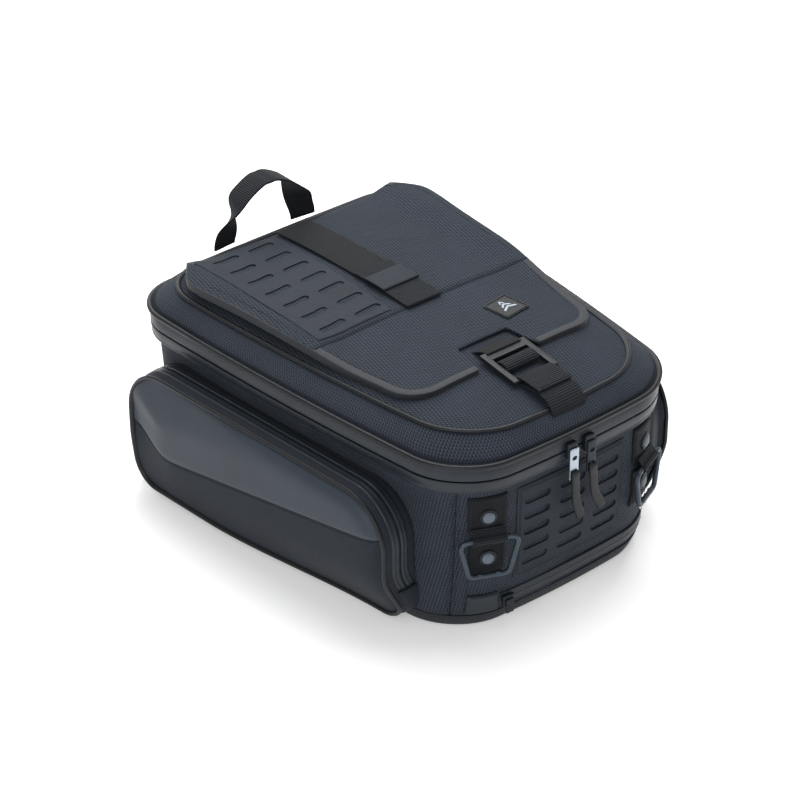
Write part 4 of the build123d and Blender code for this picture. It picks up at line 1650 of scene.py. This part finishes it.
def build_buckle_and_straps():
    bevelled("frame_buckle", 1.1, buckle_plastic, "buckle", "buckle_plastic", segments=4)
    tilt = math.radians(BUCKLE_TILT)

    def on_buckle(back, up):
        """Point of the buckle's own plane: back from its front bar, and up from it."""
        y = BUCKLE_BAR_Y + back * math.cos(tilt) - up * math.sin(tilt)
        return np.array([0, y, BUCKLE_BAR_Z + back * math.sin(tilt) + up * math.cos(tilt)])

    # webbing folded round the middle bar
    turns = np.radians(np.linspace(-165, 165, 30))
    ring = np.array([on_buckle(22.5 + 7.6 * math.sin(a), 4.4 * math.cos(a)) for a in turns])
    outs = ring - on_buckle(21.5, 0)
    label(strap("buckle_fold", ring, outs, 37, 1.3, webbing, "buckle"), "webbing")

    bend = []
    for a in np.radians([90, 45, 0, -45, -90]):
        bend.append((BUCKLE_BAR_Y + BAR_TURN * math.cos(a), BUCKLE_BAR_Z + BAR_TURN * math.sin(a)))
    path = smooth_path([(0, y, z) for y, z in (*STRAP_TAIL, *bend, *STRAP_UNDER)], 90)
    outs = np.cross(np.gradient(path, axis=0), np.array([1.0, 0, 0]))
    if outs[5][2] < 0:
        outs = -outs
    label(strap("lid_strap_tape", path, outs, WEBBING, 1.6, webbing, "lid"), "webbing", "lid_strap")
    row = [((x, -181, 209.4), UP) for x in np.linspace(-17, 17, 12)]
    stitches("lid_strap_stitches", [row], "lid")

    rise = [(-83, float(lid_height(0, -83)) + 2.2)]
    rise += [(-90, 204.2), (-99, 207.4), (-108, 212.0), (-118, 214.6)]
    path = smooth_path([(0, y, z) for y, z in rise], 24)
    outs = np.tile([0, 0, 1.0], (24, 1))
    tab = strap("flap_strap_tape", path, outs, WEBBING, 1.6, flat_webbing, "flap")
    label(tab, "smooth_strap", "flap_strap")


PULLER_HOLE = (5.6, 4.2)
PULLER_HOLE_HIGH = 9
PULLER_HOLE_LOW = 6.4
# (share of the lean, out of the pull's middle plane, down from the puller's hole)
CORD_TOP = ((0, 1.6, 1.4), (0, 2.6, -2), (0.1, 2.0, -10), (0.4, 1.0, -30))


def build_zip_pulls():
    for side_name, finish, slot, lean in (
        ("left", bright_metal, "bright_metal", 8.0),
        ("right", black_metal, "black_metal", 12.0),
    ):
        slider = "slider_" + side_name
        bevelled("zip_" + slider, 1.0, black_metal, slider, "black_metal", segments=4)
        body = "puller_" + side_name
        tab = bevelled("zip_" + body, 0.5, finish, body, slot)
        low, high, (cx, cy, _) = middle_of("zip_" + body)
        cutters = []
        for z in (high[2] - PULLER_HOLE_HIGH, low[2] + PULLER_HOLE_LOW):
            cutters.append(slot_prism((cx, cy, z), (1, 0, 0), (0, 0, 1), (0, 1, 0), *PULLER_HOLE))
        cut(tab, cutters)
        hole = low[2] + PULLER_HOLE_LOW
        low, _, (px, py, _) = middle_of("zip_pull_" + side_name)
        points = [(px + lean * share, py - out, hole + up) for share, out, up in CORD_TOP]
        points += [(px + lean, py - 0.7, low[2] + 6), (px + lean * 1.1, py - 0.7, low[2] + 1.5)]
        path = [(p, (0, -1.0, 0)) for p in smooth_path(points, 40)]
        profile = rounded_box(-4.4, 4.4, -1.2, 1.2, 1.0)
        pull = sweep("zip_cord_" + side_name, path, profile, pull_rubber, body)
        label(pull, "pull_rubber", "zip_pull_" + side_name)
    bevelled("front_zip_slider", 0.8, black_metal, "front_slider", "black_metal")
    bevelled("front_zip_pull", 0.5, black_metal, "front_pull", "black_metal")


def build_inside():
    looks = (("body_lining", lining), ("base_board", stiffener), ("lid_board", stiffener))
    for name, material in looks:
        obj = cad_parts[name]
        obj.data.materials.clear()
        obj.data.materials.append(material)


build_walls()
build_base()
build_zip_bands()
lid_pad = build_lid()
build_flap()
build_front_panel_details()
build_tie_downs()
for side_name in SIDE_SIGN:
    build_pocket(side_name)
build_handle()
build_buckle_and_straps()
build_zip_pulls()
build_inside()


# ---- floor, lights, camera -------------------------------------------------------------------
FLOOR_REACH = 6.0
FLOOR_LOOK = (
    ("Base Color", (0.93, 0.93, 0.93, 1)),
    ("Roughness", 0.9),
    ("Emission Color", (1, 1, 1, 1)),
    ("Emission Strength", 0.3),
)


def build_stage():
    mat = bpy.data.materials.new("floor")
    mat.use_nodes = True
    for socket, value in FLOOR_LOOK:
        mat.node_tree.nodes["Principled BSDF"].inputs[socket].default_value = value
    mesh = bpy.data.meshes.new("floor")
    corners = ((-1, -1), (1, -1), (1, 1), (-1, 1))
    verts = [(x * FLOOR_REACH, y * FLOOR_REACH, 0) for x, y in corners]
    mesh.from_pydata(verts, [], [(0, 1, 2, 3)])
    floor = add_object("floor", mesh)
    floor.data.materials.append(mat)


def area_light(name, place, target, size, power):
    light = bpy.data.lights.new(name, "AREA")
    light.shape = "RECTANGLE"
    light.size, light.size_y = size
    light.energy = power
    obj = add_object(name, light)
    obj.location = place
    obj.rotation_euler = (Vector(target) - Vector(place)).to_track_quat("-Z", "Y").to_euler()


def build_lights():
    bpy.context.scene.view_settings.view_transform = "Standard"
    world = bpy.data.worlds.new("studio")
    world.use_nodes = True
    world.node_tree.nodes["Background"].inputs["Color"].default_value = (1, 1, 1, 1)
    world.node_tree.nodes["Background"].inputs["Strength"].default_value = 0.44
    bpy.context.scene.world = world
    area_light("key", (0.55, 0.4, 1.85), (0, 0, 0.1), (1.6, 1.6), 36)
    area_light("back", (0.4, 1.5, 1.2), (0, 0, 0.15), (1.8, 0.8), 13)
    area_light("side", (-1.5, -1.1, 1.0), (0, 0, 0.1), (1.2, 0.9), 11)


CAMERA_AZIMUTH = -40
CAMERA_HEIGHT = 32.5
CAMERA_TARGET = (-0.0416, -0.0282, 0.1333)
CAMERA_AWAY = 2.655


def build_camera():
    azimuth, height = math.radians(CAMERA_AZIMUTH), math.radians(CAMERA_HEIGHT)
    flat = math.cos(height)
    away = Vector((math.sin(azimuth) * flat, -math.cos(azimuth) * flat, math.sin(height)))
    camera = add_object("camera", bpy.data.cameras.new("camera"))
    camera.data.lens = 135
    camera.data.sensor_width = 36
    camera.location = Vector(CAMERA_TARGET) + away * CAMERA_AWAY
    camera.rotation_euler = (-away).to_track_quat("-Z", "Y").to_euler()
    bpy.context.scene.camera = camera


build_stage()
build_lights()
build_camera()
